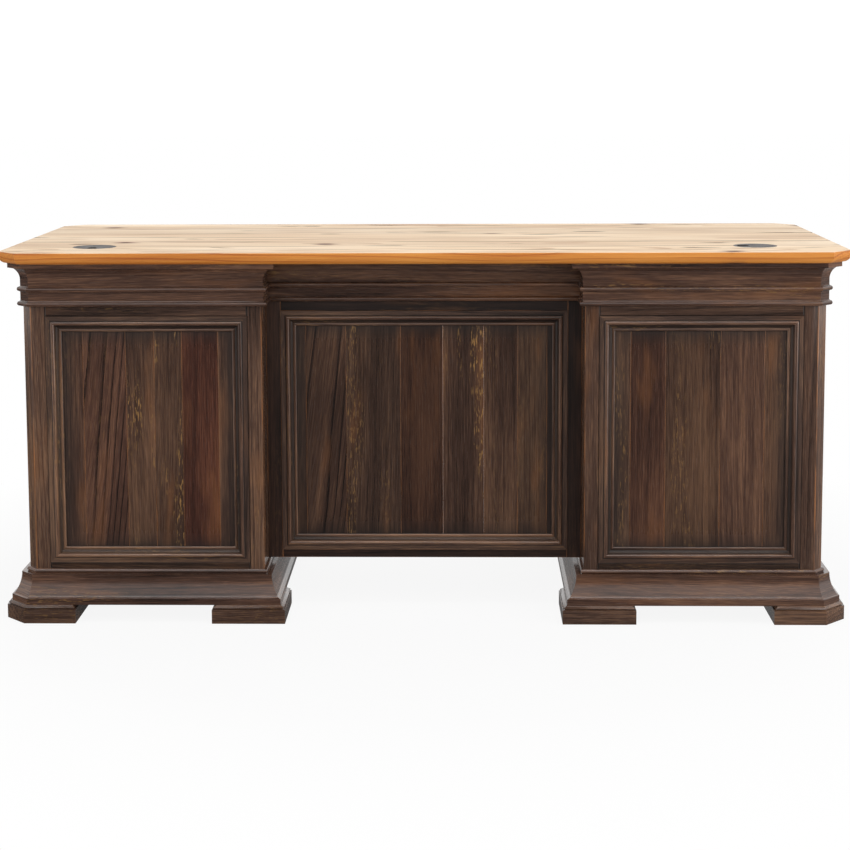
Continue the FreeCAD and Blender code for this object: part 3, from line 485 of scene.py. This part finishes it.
def glue_panel(node, name, joints, looks, turned=False):
    """A panel of upright boards that meet at the given places across it; looks are each board's shade,
    redness, rubbing and lean of grain."""
    low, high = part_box(node)
    across = 1 if turned else 0
    edges = [low[across]] + joints + [high[across]]
    centres = []
    for first, last in zip(edges, edges[1:]):
        centre = (low + high) / 2
        centre[across] = (first + last) / 2
        centres.append(centre)
    mesh = bpy.data.meshes.new(name)
    mesh.from_pydata(centres, [], [])
    widths = [last - first for first, last in zip(edges, edges[1:])]
    mesh.attributes.new("wide", "FLOAT", "POINT").data.foreach_set("value", widths)
    boards = made_by(panel_boards, mesh, {
        "Board Height": high.z - low.z, "Board Thickness": high[1 - across] - low[1 - across],
        "Joint": board_gap, "Turn": math.pi / 2 if turned else 0.0})

    # Darker towards the edges that the mouldings cover: painted shade and dark glazing.
    def glaze(spot):
        inside = min(spot.z - low.z, high.z - spot.z, spot[across] - low[across], high[across] - spot[across])
        return min(max(1 - (inside - sight_line) / glaze_width, 0), 1) ** 2

    panel = Stock(name)
    for solid, (shade, red, rubbed, slope) in zip(solids_in(boards), looks):
        board = whole_solid(solid)
        for axis in (across, 2):
            square = Vector((0, 0, 0))
            square[axis] = 1
            for step in range(glaze_steps + 1):
                inset = sight_line + glaze_width * step / glaze_steps
                saw(board, square * (low[axis] + inset), square)
                saw(board, square * (high[axis] - inset), square)
        panel.add(board, ease=0.0006, shade=shade, red=red, rubbed=rubbed, slope=slope, glaze=glaze,
                  rings=1.0 if abs(slope) > ring_lean else 0.25)
    fit(panel.piece(ebony_stain), "carcass", "base_wood", node)


glue_panel("left_visitor_panel", "left_panel_boards", [-0.697, -0.609, -0.551, -0.494, -0.420], [
    (0.6, 0.15, 0.1, 0.0), (1.7, 0.3, 0.1, -0.11), (-0.6, 0.1, 0.9, 0.02), (-0.9, 0.1, 0.9, -0.03),
    (0.0, 0.75, 0.0, 0.0), (0.9, 0.1, 0.2, 0.01)])
glue_panel("modesty_panel", "modesty_panel_boards", [-0.247, -0.163, -0.049, 0.039, 0.1245, 0.195, 0.256], [
    (-0.6, 0.0, 0.2, -0.03), (-0.5, 0.1, 0.2, -0.12), (-0.8, 0.0, 0.5, -0.03), (-2.8, 0.4, 0.0, 0.0),
    (-0.2, 0.1, 1.0, 0.0), (-0.5, 0.1, 0.3, 0.0), (-1.3, 0.0, 0.2, 0.0), (-1.2, 0.1, 0.2, 0.0)])
glue_panel("right_visitor_panel", "right_panel_boards", [0.4225, 0.4937, 0.6056, 0.6951], [
    (0.2, 0.0, 0.4, 0.0), (-0.9, 0.4, 0.0, 0.0), (-1.6, 0.1, 0.4, 0.01), (1.0, 0.15, 0.3, 0.02),
    (-0.4, 0.1, 0.2, 0.0)])
side_joints = [-0.204, -0.112, -0.017, 0.061, 0.168]
side_looks = [(-0.2, 0.1, 0.4, 0.02), (0.4, 0.2, 0.3, 0.06), (0.1, 0.0, 0.8, 0.0), (-0.6, 0.6, 0.1, 0.0),
              (0.3, 0.1, 0.6, -0.05), (0.0, 0.1, 0.3, 0.0)]
glue_panel("left_side_panel", "left_side_boards", side_joints, side_looks, turned=True)
glue_panel("right_side_panel", "right_side_boards", [-joint for joint in side_joints[::-1]],
           side_looks[::-1], turned=True)

# Panel mouldings: lengths of bolection moulding, a flat band, a bead, a hollow and a sight bead, mitred and
# pinned round each panel so that they cover its edges and let it move. Their quirks and hollows are painted
# dark, as dark glazing and painted shade, and their beads are left lighter, a painted highlight.
# How much darker each spot is made, by its distance in from a length's outer edge: painted shade and dark
# glazing in the quirk, the hollow and at the sight edge, and none on the beads.
glaze_cuts = (0.008, 0.0195, 0.0245)
glaze_marks = [(0.0, 0.6), (0.008, 0.5), (0.0098, 1.6), (0.0103, 1.6), (0.0115, 0.0), (0.0178, 0.0),
               (0.0195, 1.25), (0.0245, 1.4), (0.0262, 0.1), (0.0308, 0.1), (0.032, 1.5)]


def glazed_length(solid):
    """A length of moulding cut along its hollow, and how much darker each spot across it is made, as dark
    glazing and painted shade.
    """
    length = whole_solid(solid)
    spots = [vert.co.copy() for vert in length.verts]
    low = [min(spot[axis] for spot in spots) for axis in range(3)]
    high = [max(spot[axis] for spot in spots) for axis in range(3)]
    thick, wide = sorted(range(3), key=lambda axis: high[axis] - low[axis])[:2]
    proud = 1 if low[thick] + high[thick] > 0 else -1

    def edge_height(edge):
        return max(spot[thick] * proud for spot in spots if abs(spot[wide] - edge) < 0.0005)

    outer, inward = low[wide], 1
    if edge_height(high[wide]) > edge_height(low[wide]):
        outer, inward = high[wide], -1
    square = Vector((0, 0, 0))
    square[wide] = 1
    for place in glaze_cuts:
        saw(length, square * (outer + inward * place), square)

    def glaze(spot):
        across = (spot[wide] - outer) * inward
        for (first, begin), (last, end) in zip(glaze_marks, glaze_marks[1:]):
            if across <= last:
                return begin + (end - begin) * max(across - first, 0) / (last - first)
        return glaze_marks[-1][1]

    return length, glaze


for node in ("left_panel_mouldings", "right_panel_mouldings", "modesty_moulding"):
    moulding = Stock(f"{node}_lengths")
    for solid in cad_solids(node):
        length, glaze = glazed_length(solid)
        # The lengths are made lighter all over; as all but the beads are made darker again, the beads stand
        # out lighter, a painted highlight.
        tone = 3.4 + moulding.chance.uniform(-0.7, 0.7)
        moulding.add(length, ease=0.0005, shade=tone, glaze=glaze)
    fit(moulding.piece(ebony_stain), "carcass", "base_wood", node)

# Gables, bottom boards and cleats: the boards that close each pedestal towards the knee hole and below, and
# the strips inside that carry the runners and the top. They are stained like the frames.


def dress(node, name, finish, body, slot, **looks):
    """Remakes all the solids of a node with the same looks, and fits the piece in the node's place."""
    stock = Stock(name)
    for solid in cad_solids(node):
        stock.add(whole_solid(solid), **looks)
    fit(stock.piece(finish), body, slot, node)


for side in ("left", "right"):
    for part in ("gable", "bottom_board", "cleats"):
        dress(f"{side}_{part}", f"{side}_{part}_wood", ebony_stain, "carcass", "base_wood")

# Modesty frame: stiles and rails between the pedestals, set back from their fronts and screwed through
# the gables. It is made darker than the pedestals, painted shade for the recess between them, and its
# crevices are filled and painted dark as shade and glazing.
dress("modesty_frame", "modesty_stiles_and_rails", ebony_stain, "carcass", "base_wood", ease=0.0009,
      shade=-2.2, rubbed=0.1, red=0.4, glaze=lambda spot: 0.6, gather=0.001)

# Cornice and plinth: run mouldings of the same wood, mitred round the clipped corners and glued to the
# frames. The cornice is a cove over two beads, and the plinth steps out over the feet.
LEVEL_RUNS = [run for run in RUNS if run.z == 0]
# Their inside corners are filled and painted dark, as painted shade and dark glazing.
for node, tone in (("left_cornice", 2.1), ("right_cornice", 1.8), ("centre_cornice", 0.8),
                   ("left_plinth", 2.2), ("right_plinth", 1.9)):
    dress(node, f"{node}_lengths", ebony_stain, "carcass", "base_wood", runs=LEVEL_RUNS, shade=tone,
          red=0.15, rubbed=0.5, gather=0.0018)

# Block feet: solid blocks of the same wood under each corner, sawn with a shadow neck and a bevelled cap,
# glued and screwed up into the plinth.
# The feet's inside corners are filled and painted dark, as painted shade and dark glazing.
for side in ("left", "right"):
    dress(f"{side}_feet", f"{side}_block_feet", ebony_stain, "carcass", "base_wood", runs=RUNS[:1],
          ease=0.001, shade=1.3, gather=0.0018, wear=lambda spot, eased: 0.35 if eased else 0.0)

# Runners and hanging-file rails: channels folded from zinc-plated steel strip, nested in pairs, and flat
# rails that stand above the file drawers' sides.


def metal_finish(name, colour, tarnish, dull, scratch):
    """A metal with fine scratches, stretched along the axes by scratch, and a cloudy tarnish."""
    finish, tree, shader = start_finish(name)
    place = add_node(tree, "ShaderNodeTexCoord").outputs["Object"]
    fine = stretched(tree, place, scratch, detail=3.0, rough=0.6)
    cloud = ease_in(tree, stretched(tree, place, (40.0, 40.0, 40.0), detail=3.0), 0.4, 0.7)
    tree.links.new(blend(tree, cloud, colour, tarnish), shader.inputs["Base Color"])
    rough = sums(tree, "ADD", dull, sums(tree, "MULTIPLY", sums(tree, "SUBTRACT", fine, 0.5), 0.35))
    tree.links.new(rough, shader.inputs["Roughness"])
    raise_grain(tree, shader, fine, strength=0.15, distance=0.0002)
    shader.inputs["Metallic"].default_value = 1.0
    return finish


runner_steel = metal_finish("runner_steel", colour=paint(190, 192, 194), tarnish=paint(160, 162, 166),
                            dull=0.36, scratch=(400.0, 6.0, 400.0))
steel_places = [("carcass", f"{side}_fixed_runners") for side in ("left", "right", "centre")]
steel_places.append(("centre_drawer", "centre_drawer_runners"))
for side in ("left", "right"):
    steel_places.append((f"{side}_upper_drawer", f"{side}_upper_drawer_runners"))
    steel_places.append((f"{side}_file_drawer", f"{side}_file_drawer_runners"))
    steel_places.append((f"{side}_file_drawer", f"{side}_file_hanging_rails"))
    steel_places.append((f"{side}_file_middle_runners", f"{side}_file_middle_runners"))
for body, node in steel_places:
    dress(node, f"{node}_steel", runner_steel, body, "runner_steel", ease=0.0004)

# Drawer boxes: sides, back, sub-front and bottom of pale hardwood boards, planed smooth, glued at the
# corners and sealed with a thin clear coat.
pale_hardwood, tree, shader = start_finish("pale_hardwood")
planed_dark, planed_middle, planed_light = paint(168, 128, 86), paint(208, 172, 126), paint(224, 194, 152)
grain, marks = board_marks(tree)
figure = figured(tree, grain, ring_width=0.009, waver=0.03)
depth = mixture(tree, (figure["Patches"], 0.5), (figure["Fibre"], 0.45), (figure["Rings"], -0.2))
planed = ramp(tree, depth, [(0.2, planed_dark), (0.5, planed_middle), (0.75, planed_light)])
tree.links.new(toned(tree, planed, board_shade(tree, marks, 0.07)), shader.inputs["Base Color"])
dull = sums(tree, "MULTIPLY", figure["Fibre"], 0.15)
tree.links.new(sums(tree, "ADD", 0.45, dull), shader.inputs["Roughness"])
raise_grain(tree, shader, figure["Fibre"], strength=0.2, distance=0.0003)
pedestal_drawers = [f"{side}_{kind}_drawer" for side in ("left", "right") for kind in ("upper", "file")]
for drawer in pedestal_drawers + ["centre_drawer"]:
    dress(f"{drawer}_box", f"{drawer}_boards", pale_hardwood, drawer, "drawer_wood")

# Drawer fronts: a board with the panel moulding mitred round it, so that a closed drawer looks like a panel.
# The centre drawer's front carries a length of the cornice. The fronts' upper edges, which don't show when
# the drawers are shut, are stained and left unpolished.


def left_dull(node):
    """How much dull stain is left at each spot of a front."""
    upper_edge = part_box(node)[1].z - 0.0001
    return lambda spot: 1.0 if spot.z > upper_edge else 0.0


# The fronts' inside corners are filled and painted dark, as painted shade and dark glazing.
for drawer in pedestal_drawers:
    dress(f"{drawer}_front", f"{drawer}_fielded_front", ebony_stain, drawer, "base_wood", ease=0.0005,
          rubbed=0.4, gather=0.0008, glaze=left_dull(f"{drawer}_front"))
for part in ("front", "cornice"):
    dress(f"centre_drawer_{part}", f"centre_drawer_{part}_wood", ebony_stain, "centre_drawer", "base_wood",
          runs=LEVEL_RUNS, rubbed=0.5, gather=0.0011, glaze=left_dull(f"centre_drawer_{part}"))

# Knobs: turned from brass bar and left to darken, one on each pedestal drawer, held by a screw from inside
# its front.
aged_brass = metal_finish("aged_brass", colour=paint(150, 116, 66), tarnish=paint(92, 70, 44), dull=0.34,
                          scratch=(500.0, 500.0, 500.0))
for drawer in pedestal_drawers:
    dress(f"{drawer}_knob", f"{drawer}_turned_knob", aged_brass, drawer, "knob_metal", ease=0.0003)

# The top: planks of pale pine laid along the desk and glued into one board, with their knots and open
# splits left in. Its rounded edge is rubbed with a warmer orange stain, and all of it is waxed.
TOP = cad_high.z
HAIR = 0.00001
plank_joints = [-0.287, -0.2165, -0.104, 0.005, 0.093, 0.227, 0.301]
joint_width = 0.009
split_joint = plank_joints[3]
split_end, split_depth = -0.822, 2.5
corner_clip = 0.0444
edge_width = 0.02
pine_dark, pine_middle, pine_light = paint(180, 138, 98), paint(219, 189, 151), paint(238, 216, 186)
edge_dark, edge_middle, edge_light = paint(166, 86, 22), paint(202, 124, 44), paint(226, 154, 68)
pine_streak = paint(146, 90, 48)
knot_halo = paint(126, 74, 38)
knot_heart = paint(50, 28, 16)
honey_pine, tree, shader = start_finish("honey_pine")
grain, marks = board_marks(tree)
figure = figured(tree, grain, ring_width=0.011, waver=0.07)
depth = mixture(tree, (figure["Patches"], 0.6), (figure["Fibre"], 0.5), (figure["Rings"], -0.16))
pine = ramp(tree, depth, [(0.3, pine_dark), (0.5, pine_middle), (0.7, pine_light)])
pine = toned(tree, pine, board_shade(tree, marks, 0.14))
orange = ramp(tree, depth, [(0.28, edge_dark), (0.5, edge_middle), (0.75, edge_light)])
pine = blend(tree, marks["Rubbed"], pine, orange)
streak = ease_in(tree, stretched(tree, grain, (1.4, 30.0, 30.0), detail=3.0, rough=0.6), 0.56, 0.7)
pine = blend(tree, sums(tree, "MULTIPLY", streak, 0.5), pine, pine_streak)
knot_places = add_node(tree, "ShaderNodeVectorMath", {0: grain, 1: (4.4, 7.0, 0.0)}, operation="MULTIPLY")
cells = add_node(tree, "ShaderNodeTexVoronoi", {"Vector": knot_places.outputs[0], "Scale": 1.0},
                 voronoi_dimensions="2D").outputs
knotty = ease_in(tree, add_node(tree, "ShaderNodeSeparateColor", {0: cells["Color"]}).outputs[0], 0.76, 0.8)
wobble = sums(tree, "SUBTRACT", stretched(tree, grain, (30.0, 60.0, 60.0)), 0.5)
from_knot = sums(tree, "ADD", cells["Distance"], sums(tree, "MULTIPLY", wobble, 0.08))
halo = sums(tree, "MULTIPLY", rest_of(tree, ease_in(tree, from_knot, 0.06, 0.17)), knotty)
pine = blend(tree, sums(tree, "MULTIPLY", halo, 0.8), pine, knot_halo)
knots = sums(tree, "MULTIPLY", rest_of(tree, ease_in(tree, from_knot, 0.03, 0.09)), knotty)
splits = sums(tree, "MULTIPLY", ease_in(tree, stretched(tree, grain, (6.0, 42.0, 42.0)), 0.63, 0.67),
              ease_in(tree, stretched(tree, grain, (2.6, 15.0, 15.0), detail=1.0), 0.55, 0.62))
at_joint = attribute(tree, "glaze")["Fac"]
open_joint = sums(tree, "MULTIPLY", ease_in(tree, at_joint, 0.1, 0.9),
                  ease_in(tree, stretched(tree, grain, (3.0, 4.0, 4.0)), 0.5, 0.62))
open_joint = sums(tree, "MAXIMUM", open_joint, ease_in(tree, at_joint, 1.05, 1.2))
dark = sums(tree, "MAXIMUM", sums(tree, "MAXIMUM", splits, knots), open_joint)
pine = blend(tree, sums(tree, "MULTIPLY", dark, 0.92), pine, knot_heart)
tree.links.new(pine, shader.inputs["Base Color"])
dull = mixture(tree, (figure["Fibre"], 0.16), (dark, 0.3))
tree.links.new(sums(tree, "ADD", 0.48, dull), shader.inputs["Roughness"])
tree.links.new(sums(tree, "MULTIPLY", rest_of(tree, dark), 0.22), shader.inputs["Coat Weight"])
height = mixture(tree, (figure["Fibre"], 0.3), (dark, -1.2), (figure["Rings"], -0.3))
raise_grain(tree, shader, height, strength=0.25, distance=0.0006)
shader.inputs["Specular IOR Level"].default_value = 0.35
shader.inputs["Coat Roughness"].default_value = 0.4


def edge_colour(spot):
    """1 on the rounded edge of the top and 0 on its flat faces and in the grommet holes."""
    clip = (cad_high.x + cad_high.y - corner_clip) / math.sqrt(2)
    inset = min(cad_high.x - abs(spot.x), cad_high.y - abs(spot.y),
                clip - (abs(spot.x) + abs(spot.y)) / math.sqrt(2))
    return 1.0 if inset < edge_width and spot.z < TOP - 0.0005 else 0.0


def off_joint(spot):
    """How far a spot is from the nearest glued joint."""
    return min(abs(spot.y - joint) for joint in plank_joints)


def plank_joint(edge):
    """Whether an edge is an upper arris along a glued joint."""
    return all(vert.co.z > TOP - HAIR and off_joint(vert.co) < HAIR for vert in edge.verts)


def near_joint(spot):
    """1 at a glued joint and 0 a little way from it, and more where the middle joint has split at its end."""
    near = max(1 - off_joint(spot) / joint_width, 0)
    split = spot.x < split_end - 0.001 and abs(spot.y - split_joint) < 0.002
    return near * split_depth if split else near


planks = Stock("desk_top_planks")
plank_edges = [-1.0] + plank_joints + [1.0]
for near, far in zip(plank_edges, plank_edges[1:]):
    plank = whole_solid(cad_solids("desk_top")[0])
    for joint, keep in ((near, 1), (far, -1)):
        saw(plank, (0, joint, 0), (0, -keep, 0), clear_outer=True)
        bmesh.ops.holes_fill(plank, edges=[sawn for sawn in plank.edges if sawn.is_boundary])
    for place in (near + joint_width, far - joint_width):
        saw(plank, (0, place, 0), (0, 1, 0))
    saw(plank, (split_end, 0, 0), (1, 0, 0))
    planks.add(plank, runs=RUNS[:1], ease=0.0006, arris=plank_joint, rubbed=edge_colour, glaze=near_joint)
fit(planks.piece(honey_pine), "carcass", "top_wood", "desk_top")

# Cable grommets: a spun metal liner with a flush flange, let into each hole of the top, and a cap with a
# notch for cables that turns in it. Both are darkened zinc.
grommet_zinc = metal_finish("grommet_zinc", colour=paint(64, 60, 58), tarnish=paint(44, 40, 38), dull=0.5,
                            scratch=(300.0, 300.0, 300.0))
dress("grommet_liners", "grommet_liner_rings", grommet_zinc, "carcass", "grommet_metal", ease=0.0004)
for side in ("left", "right"):
    dress(f"grommet_cap_{side}", f"{side}_grommet_disc", grommet_zinc, f"grommet_cap_{side}",
          "grommet_metal", ease=0.0006)

# Assembly screws: countersunk steel screws with a cross recess, up through the cleats into the top and
# through the gables into the modesty frame.
screw_sizes = {"Head Radius": 0.0045, "Head Height": 0.003, "Shank Radius": 0.00225, "Recess": 0.0011}
screw_steel = metal_finish("screw_steel", colour=paint(186, 178, 160), tarnish=paint(150, 140, 118),
                           dull=0.32, scratch=(200.0, 200.0, 200.0))
screw_set, given, made = new_group(
    "screw_set", "GeometryNodeTree", {"Screw Heads": GEOMETRY, **{label: FLOAT for label in screw_sizes}},
    {"Geometry": GEOMETRY})
aim = add_node(screw_set, "GeometryNodeInputNamedAttribute", {"Name": "aim"},
               data_type="FLOAT_VECTOR").outputs[0]
aimed = add_node(screw_set, "FunctionNodeAlignRotationToVector", {"Vector": aim}).outputs[0]
long = add_node(screw_set, "GeometryNodeInputNamedAttribute", {"Name": "long"}).outputs[0]
head = add_node(screw_set, "GeometryNodeMeshCone", {
    "Vertices": 24, "Radius Top": given["Shank Radius"], "Radius Bottom": given["Head Radius"],
    "Depth": given["Head Height"]}).outputs["Mesh"]
recessed = add_node(screw_set, "GeometryNodeMeshBoolean", {"Mesh 1": head}, operation="DIFFERENCE")
arm = sums(screw_set, "MULTIPLY", given["Head Radius"], 1.2)
for lengthwise, crosswise in (("X", "Y"), ("Y", "X")):
    bar = add_node(screw_set, "ShaderNodeCombineXYZ", {
        lengthwise: arm, crosswise: given["Recess"], "Z": given["Head Height"]}).outputs[0]
    bar = add_node(screw_set, "GeometryNodeMeshCube", {"Size": bar}).outputs["Mesh"]
    screw_set.links.new(bar, recessed.inputs["Mesh 2"])
heads = add_node(screw_set, "GeometryNodeInstanceOnPoints", {
    "Points": given["Screw Heads"], "Instance": recessed.outputs["Mesh"], "Rotation": aimed}).outputs[0]
shank = add_node(screw_set, "GeometryNodeMeshCylinder", {
    "Vertices": 16, "Radius": given["Shank Radius"], "Depth": 1.0}).outputs["Mesh"]
halfway = mixture(screw_set, (long, 0.5), (given["Head Height"], 0.5))
middle = add_node(screw_set, "ShaderNodeVectorMath", {0: aim, "Scale": halfway}, operation="SCALE").outputs[0]
seats = add_node(screw_set, "GeometryNodeSetPosition", {
    "Geometry": given["Screw Heads"], "Offset": middle}).outputs[0]
stretch = add_node(screw_set, "ShaderNodeCombineXYZ", {
    "X": 1.0, "Y": 1.0, "Z": sums(screw_set, "SUBTRACT", long, given["Head Height"])}).outputs[0]
shanks = add_node(screw_set, "GeometryNodeInstanceOnPoints", {
    "Points": seats, "Instance": shank, "Scale": stretch, "Rotation": aimed}).outputs[0]
joined = add_node(screw_set, "GeometryNodeJoinGeometry")
for part in (heads, shanks):
    screw_set.links.new(part, joined.inputs[0])
screw_set.links.new(made_real(screw_set, joined.outputs[0], screw_steel), made["Geometry"])

head_places, aims, lengths = [], [], []
for solid in cad_solids("assembly_screws"):
    corners = [Vector(corner) for face in solid for corner in face]
    low = Vector([min(corner[axis] for corner in corners) for axis in range(3)])
    high = Vector([max(corner[axis] for corner in corners) for axis in range(3)])
    upright = high.z - low.z > high.x - low.x
    middle = (low + high) / 2
    inward = Vector((0, 0, 1)) if upright else Vector((1 if middle.x < 0 else -1, 0, 0))
    length = (high - low).z if upright else (high - low).x
    head_places.append(middle - inward * (length / 2))
    aims += inward[:]
    lengths.append(length)
mesh = bpy.data.meshes.new("screw_places")
mesh.from_pydata(head_places, [], [])
mesh.attributes.new("aim", "FLOAT_VECTOR", "POINT").data.foreach_set("vector", aims)
mesh.attributes.new("long", "FLOAT", "POINT").data.foreach_set("value", lengths)
screws = bpy.data.objects.new("countersunk_screws", made_by(screw_set, mesh, screw_sizes))
bpy.context.scene.collection.objects.link(screws)
fit(screws, "carcass", "screw_steel", "assembly_screws")

# The studio: a white floor that runs out of sight, soft lamps to the right, to the left, in front and above,
# and white all round beyond the desk. Polished wood mirrors more white at the sides than in front.
floor_reach = 30
away = (0.42, 0.91, 0)


def graded(tree, value, low, high, first, last):
    """A straight slope from first, at low, to last, at high."""
    return add_node(tree, "ShaderNodeMapRange", {"Value": value, "From Min": low, "From Max": high,
                                                 "To Min": first, "To Max": last}).outputs["Result"]


def reach_along(tree, vector, way):
    """How far a vector goes along a way."""
    product = add_node(tree, "ShaderNodeVectorMath", {0: vector, 1: way}, operation="DOT_PRODUCT")
    return product.outputs["Value"]


def either_side(tree, vector):
    """A vector's three parts with no sign."""
    unsigned = add_node(tree, "ShaderNodeVectorMath", {0: vector}, operation="ABSOLUTE").outputs[0]
    return add_node(tree, "ShaderNodeSeparateXYZ", {0: unsigned}).outputs


floor_mesh = bpy.data.meshes.new("studio_floor")
floor_corners = [(-floor_reach, -floor_reach, 0), (floor_reach, -floor_reach, 0),
                 (floor_reach, floor_reach, 0), (-floor_reach, floor_reach, 0)]
floor_mesh.from_pydata(floor_corners, [], [(0, 1, 2, 3)])
floor = bpy.data.objects.new("studio_floor", floor_mesh)
bpy.context.scene.collection.objects.link(floor)
white_floor, tree, shader = start_finish("white_floor")
shader.inputs["Base Color"].default_value = (0.7, 0.7, 0.7, 1)
shader.inputs["Roughness"].default_value = 0.9
shader.inputs["Specular IOR Level"].default_value = 0.1
ray = add_node(tree, "ShaderNodeLightPath").outputs
place = add_node(tree, "ShaderNodeTexCoord").outputs["Object"]
from_middle = add_node(tree, "ShaderNodeVectorMath", {0: place}, operation="LENGTH").outputs["Value"]
spread = graded(tree, from_middle, 0.9, 1.5, 0.9, 1.0)
mirrored = graded(tree, reach_along(tree, place, away), -0.5, 0.5, 0.08, 0.3)
depthwise = add_node(tree, "ShaderNodeSeparateXYZ", {0: place}).outputs["Y"]
in_front = sums(tree, "MULTIPLY", ease_in(tree, depthwise, -3.6, -2.4),
                rest_of(tree, ease_in(tree, depthwise, -1.0, -0.5)))
off = either_side(tree, place)
aside = ease_in(tree, sums(tree, "SUBTRACT", off["X"], sums(tree, "MULTIPLY", off["Y"], 0.5)), 0.6, 1.1)
front_corners = sums(tree, "MULTIPLY", sums(tree, "MULTIPLY", aside, in_front), 0.9)
mirrored = sums(tree, "MAXIMUM", mirrored, front_corners)
glow = add_node(tree, "ShaderNodeEmission", {
    "Color": (1, 1, 1, 1), "Strength": sums(tree, "MAXIMUM", ray["Is Camera Ray"], mirrored)}).outputs[0]
seen = sums(tree, "MAXIMUM", sums(tree, "MULTIPLY", ray["Is Camera Ray"], spread), ray["Is Glossy Ray"])
both = add_node(tree, "ShaderNodeMixShader", {0: seen, 1: shader.outputs[0], 2: glow}).outputs[0]
tree.links.new(both, tree.nodes["Material Output"].inputs["Surface"])
floor_mesh.materials.append(white_floor)
floor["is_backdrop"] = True

studio = bpy.data.worlds.new("studio")
studio.use_nodes = True
tree = studio.node_tree
ray = add_node(tree, "ShaderNodeLightPath").outputs
way = add_node(tree, "ShaderNodeTexCoord").outputs["Generated"]
around = graded(tree, reach_along(tree, way, away), -0.3, 0.5, 0.06, 1.2)
off = either_side(tree, way)
white = sums(tree, "MAXIMUM", ease_in(tree, off["X"], 0.6, 0.9), ease_in(tree, off["Z"], 0.55, 0.85))
around = sums(tree, "MAXIMUM", around, sums(tree, "MULTIPLY", white, ray["Is Glossy Ray"]))
backdrop = tree.nodes["Background"].inputs
tree.links.new(sums(tree, "MAXIMUM", ray["Is Camera Ray"], around), backdrop["Strength"])
backdrop["Color"].default_value = (1, 1, 1, 1)
bpy.context.scene.world = studio


def softbox(name, place, aim, width, height, power):
    """A lamp behind a rectangle of white cloth, turned towards its aim."""
    lamp = bpy.data.lights.new(name, "AREA")
    lamp.shape = "RECTANGLE"
    lamp.size = width
    lamp.size_y = height
    lamp.energy = power
    item = bpy.data.objects.new(name, lamp)
    turned = (Vector(aim) - Vector(place)).to_track_quat("-Z", "Y").to_matrix().to_4x4()
    item.matrix_world = Matrix.Translation(place) @ turned
    bpy.context.scene.collection.objects.link(item)


softbox("right_softbox", (3.0, -1.6, 1.15), (0.2, -0.1, 0.4), width=2.6, height=2.2, power=40)
softbox("left_softbox", (-3.1, -2.2, 1.3), (-0.2, 0, 0.4), width=2.0, height=2.2, power=28)
softbox("front_softbox", (0.1, -3.2, 2.5), (0.0, -0.1, 0.4), width=5.0, height=3.4, power=62)
softbox("overhead_strip", (0.1, -0.95, 2.75), (0.1, -0.3, 0.4), width=3.2, height=0.35, power=23)

# The camera stands four metres off at chest height, a little to the right of the desk's middle, and looks
# at the visitor's side.
photo_pixels, focal_pixels = 850, 1828.0
eye = (0.0785, -3.988, 1.1167)
yaw, pitch, roll = 0.0201, -0.1078, -0.0038
camera = bpy.data.cameras.new("camera")
camera.sensor_width = 36
camera.lens = focal_pixels / photo_pixels * camera.sensor_width
camera.shift_y = -0.18
camera.clip_end = 200
forward = Vector((-math.sin(yaw) * math.cos(pitch), math.cos(yaw) * math.cos(pitch), math.sin(pitch)))
stand = forward.to_track_quat("-Z", "Y").to_matrix().to_4x4() @ Matrix.Rotation(roll, 4, "Z")
viewer = bpy.data.objects.new("camera", camera)
viewer.matrix_world = Matrix.Translation(eye) @ stand
bpy.context.scene.collection.objects.link(viewer)
bpy.context.scene.camera = viewer
bpy.context.scene.view_settings.view_transform = "Standard"

low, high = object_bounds()
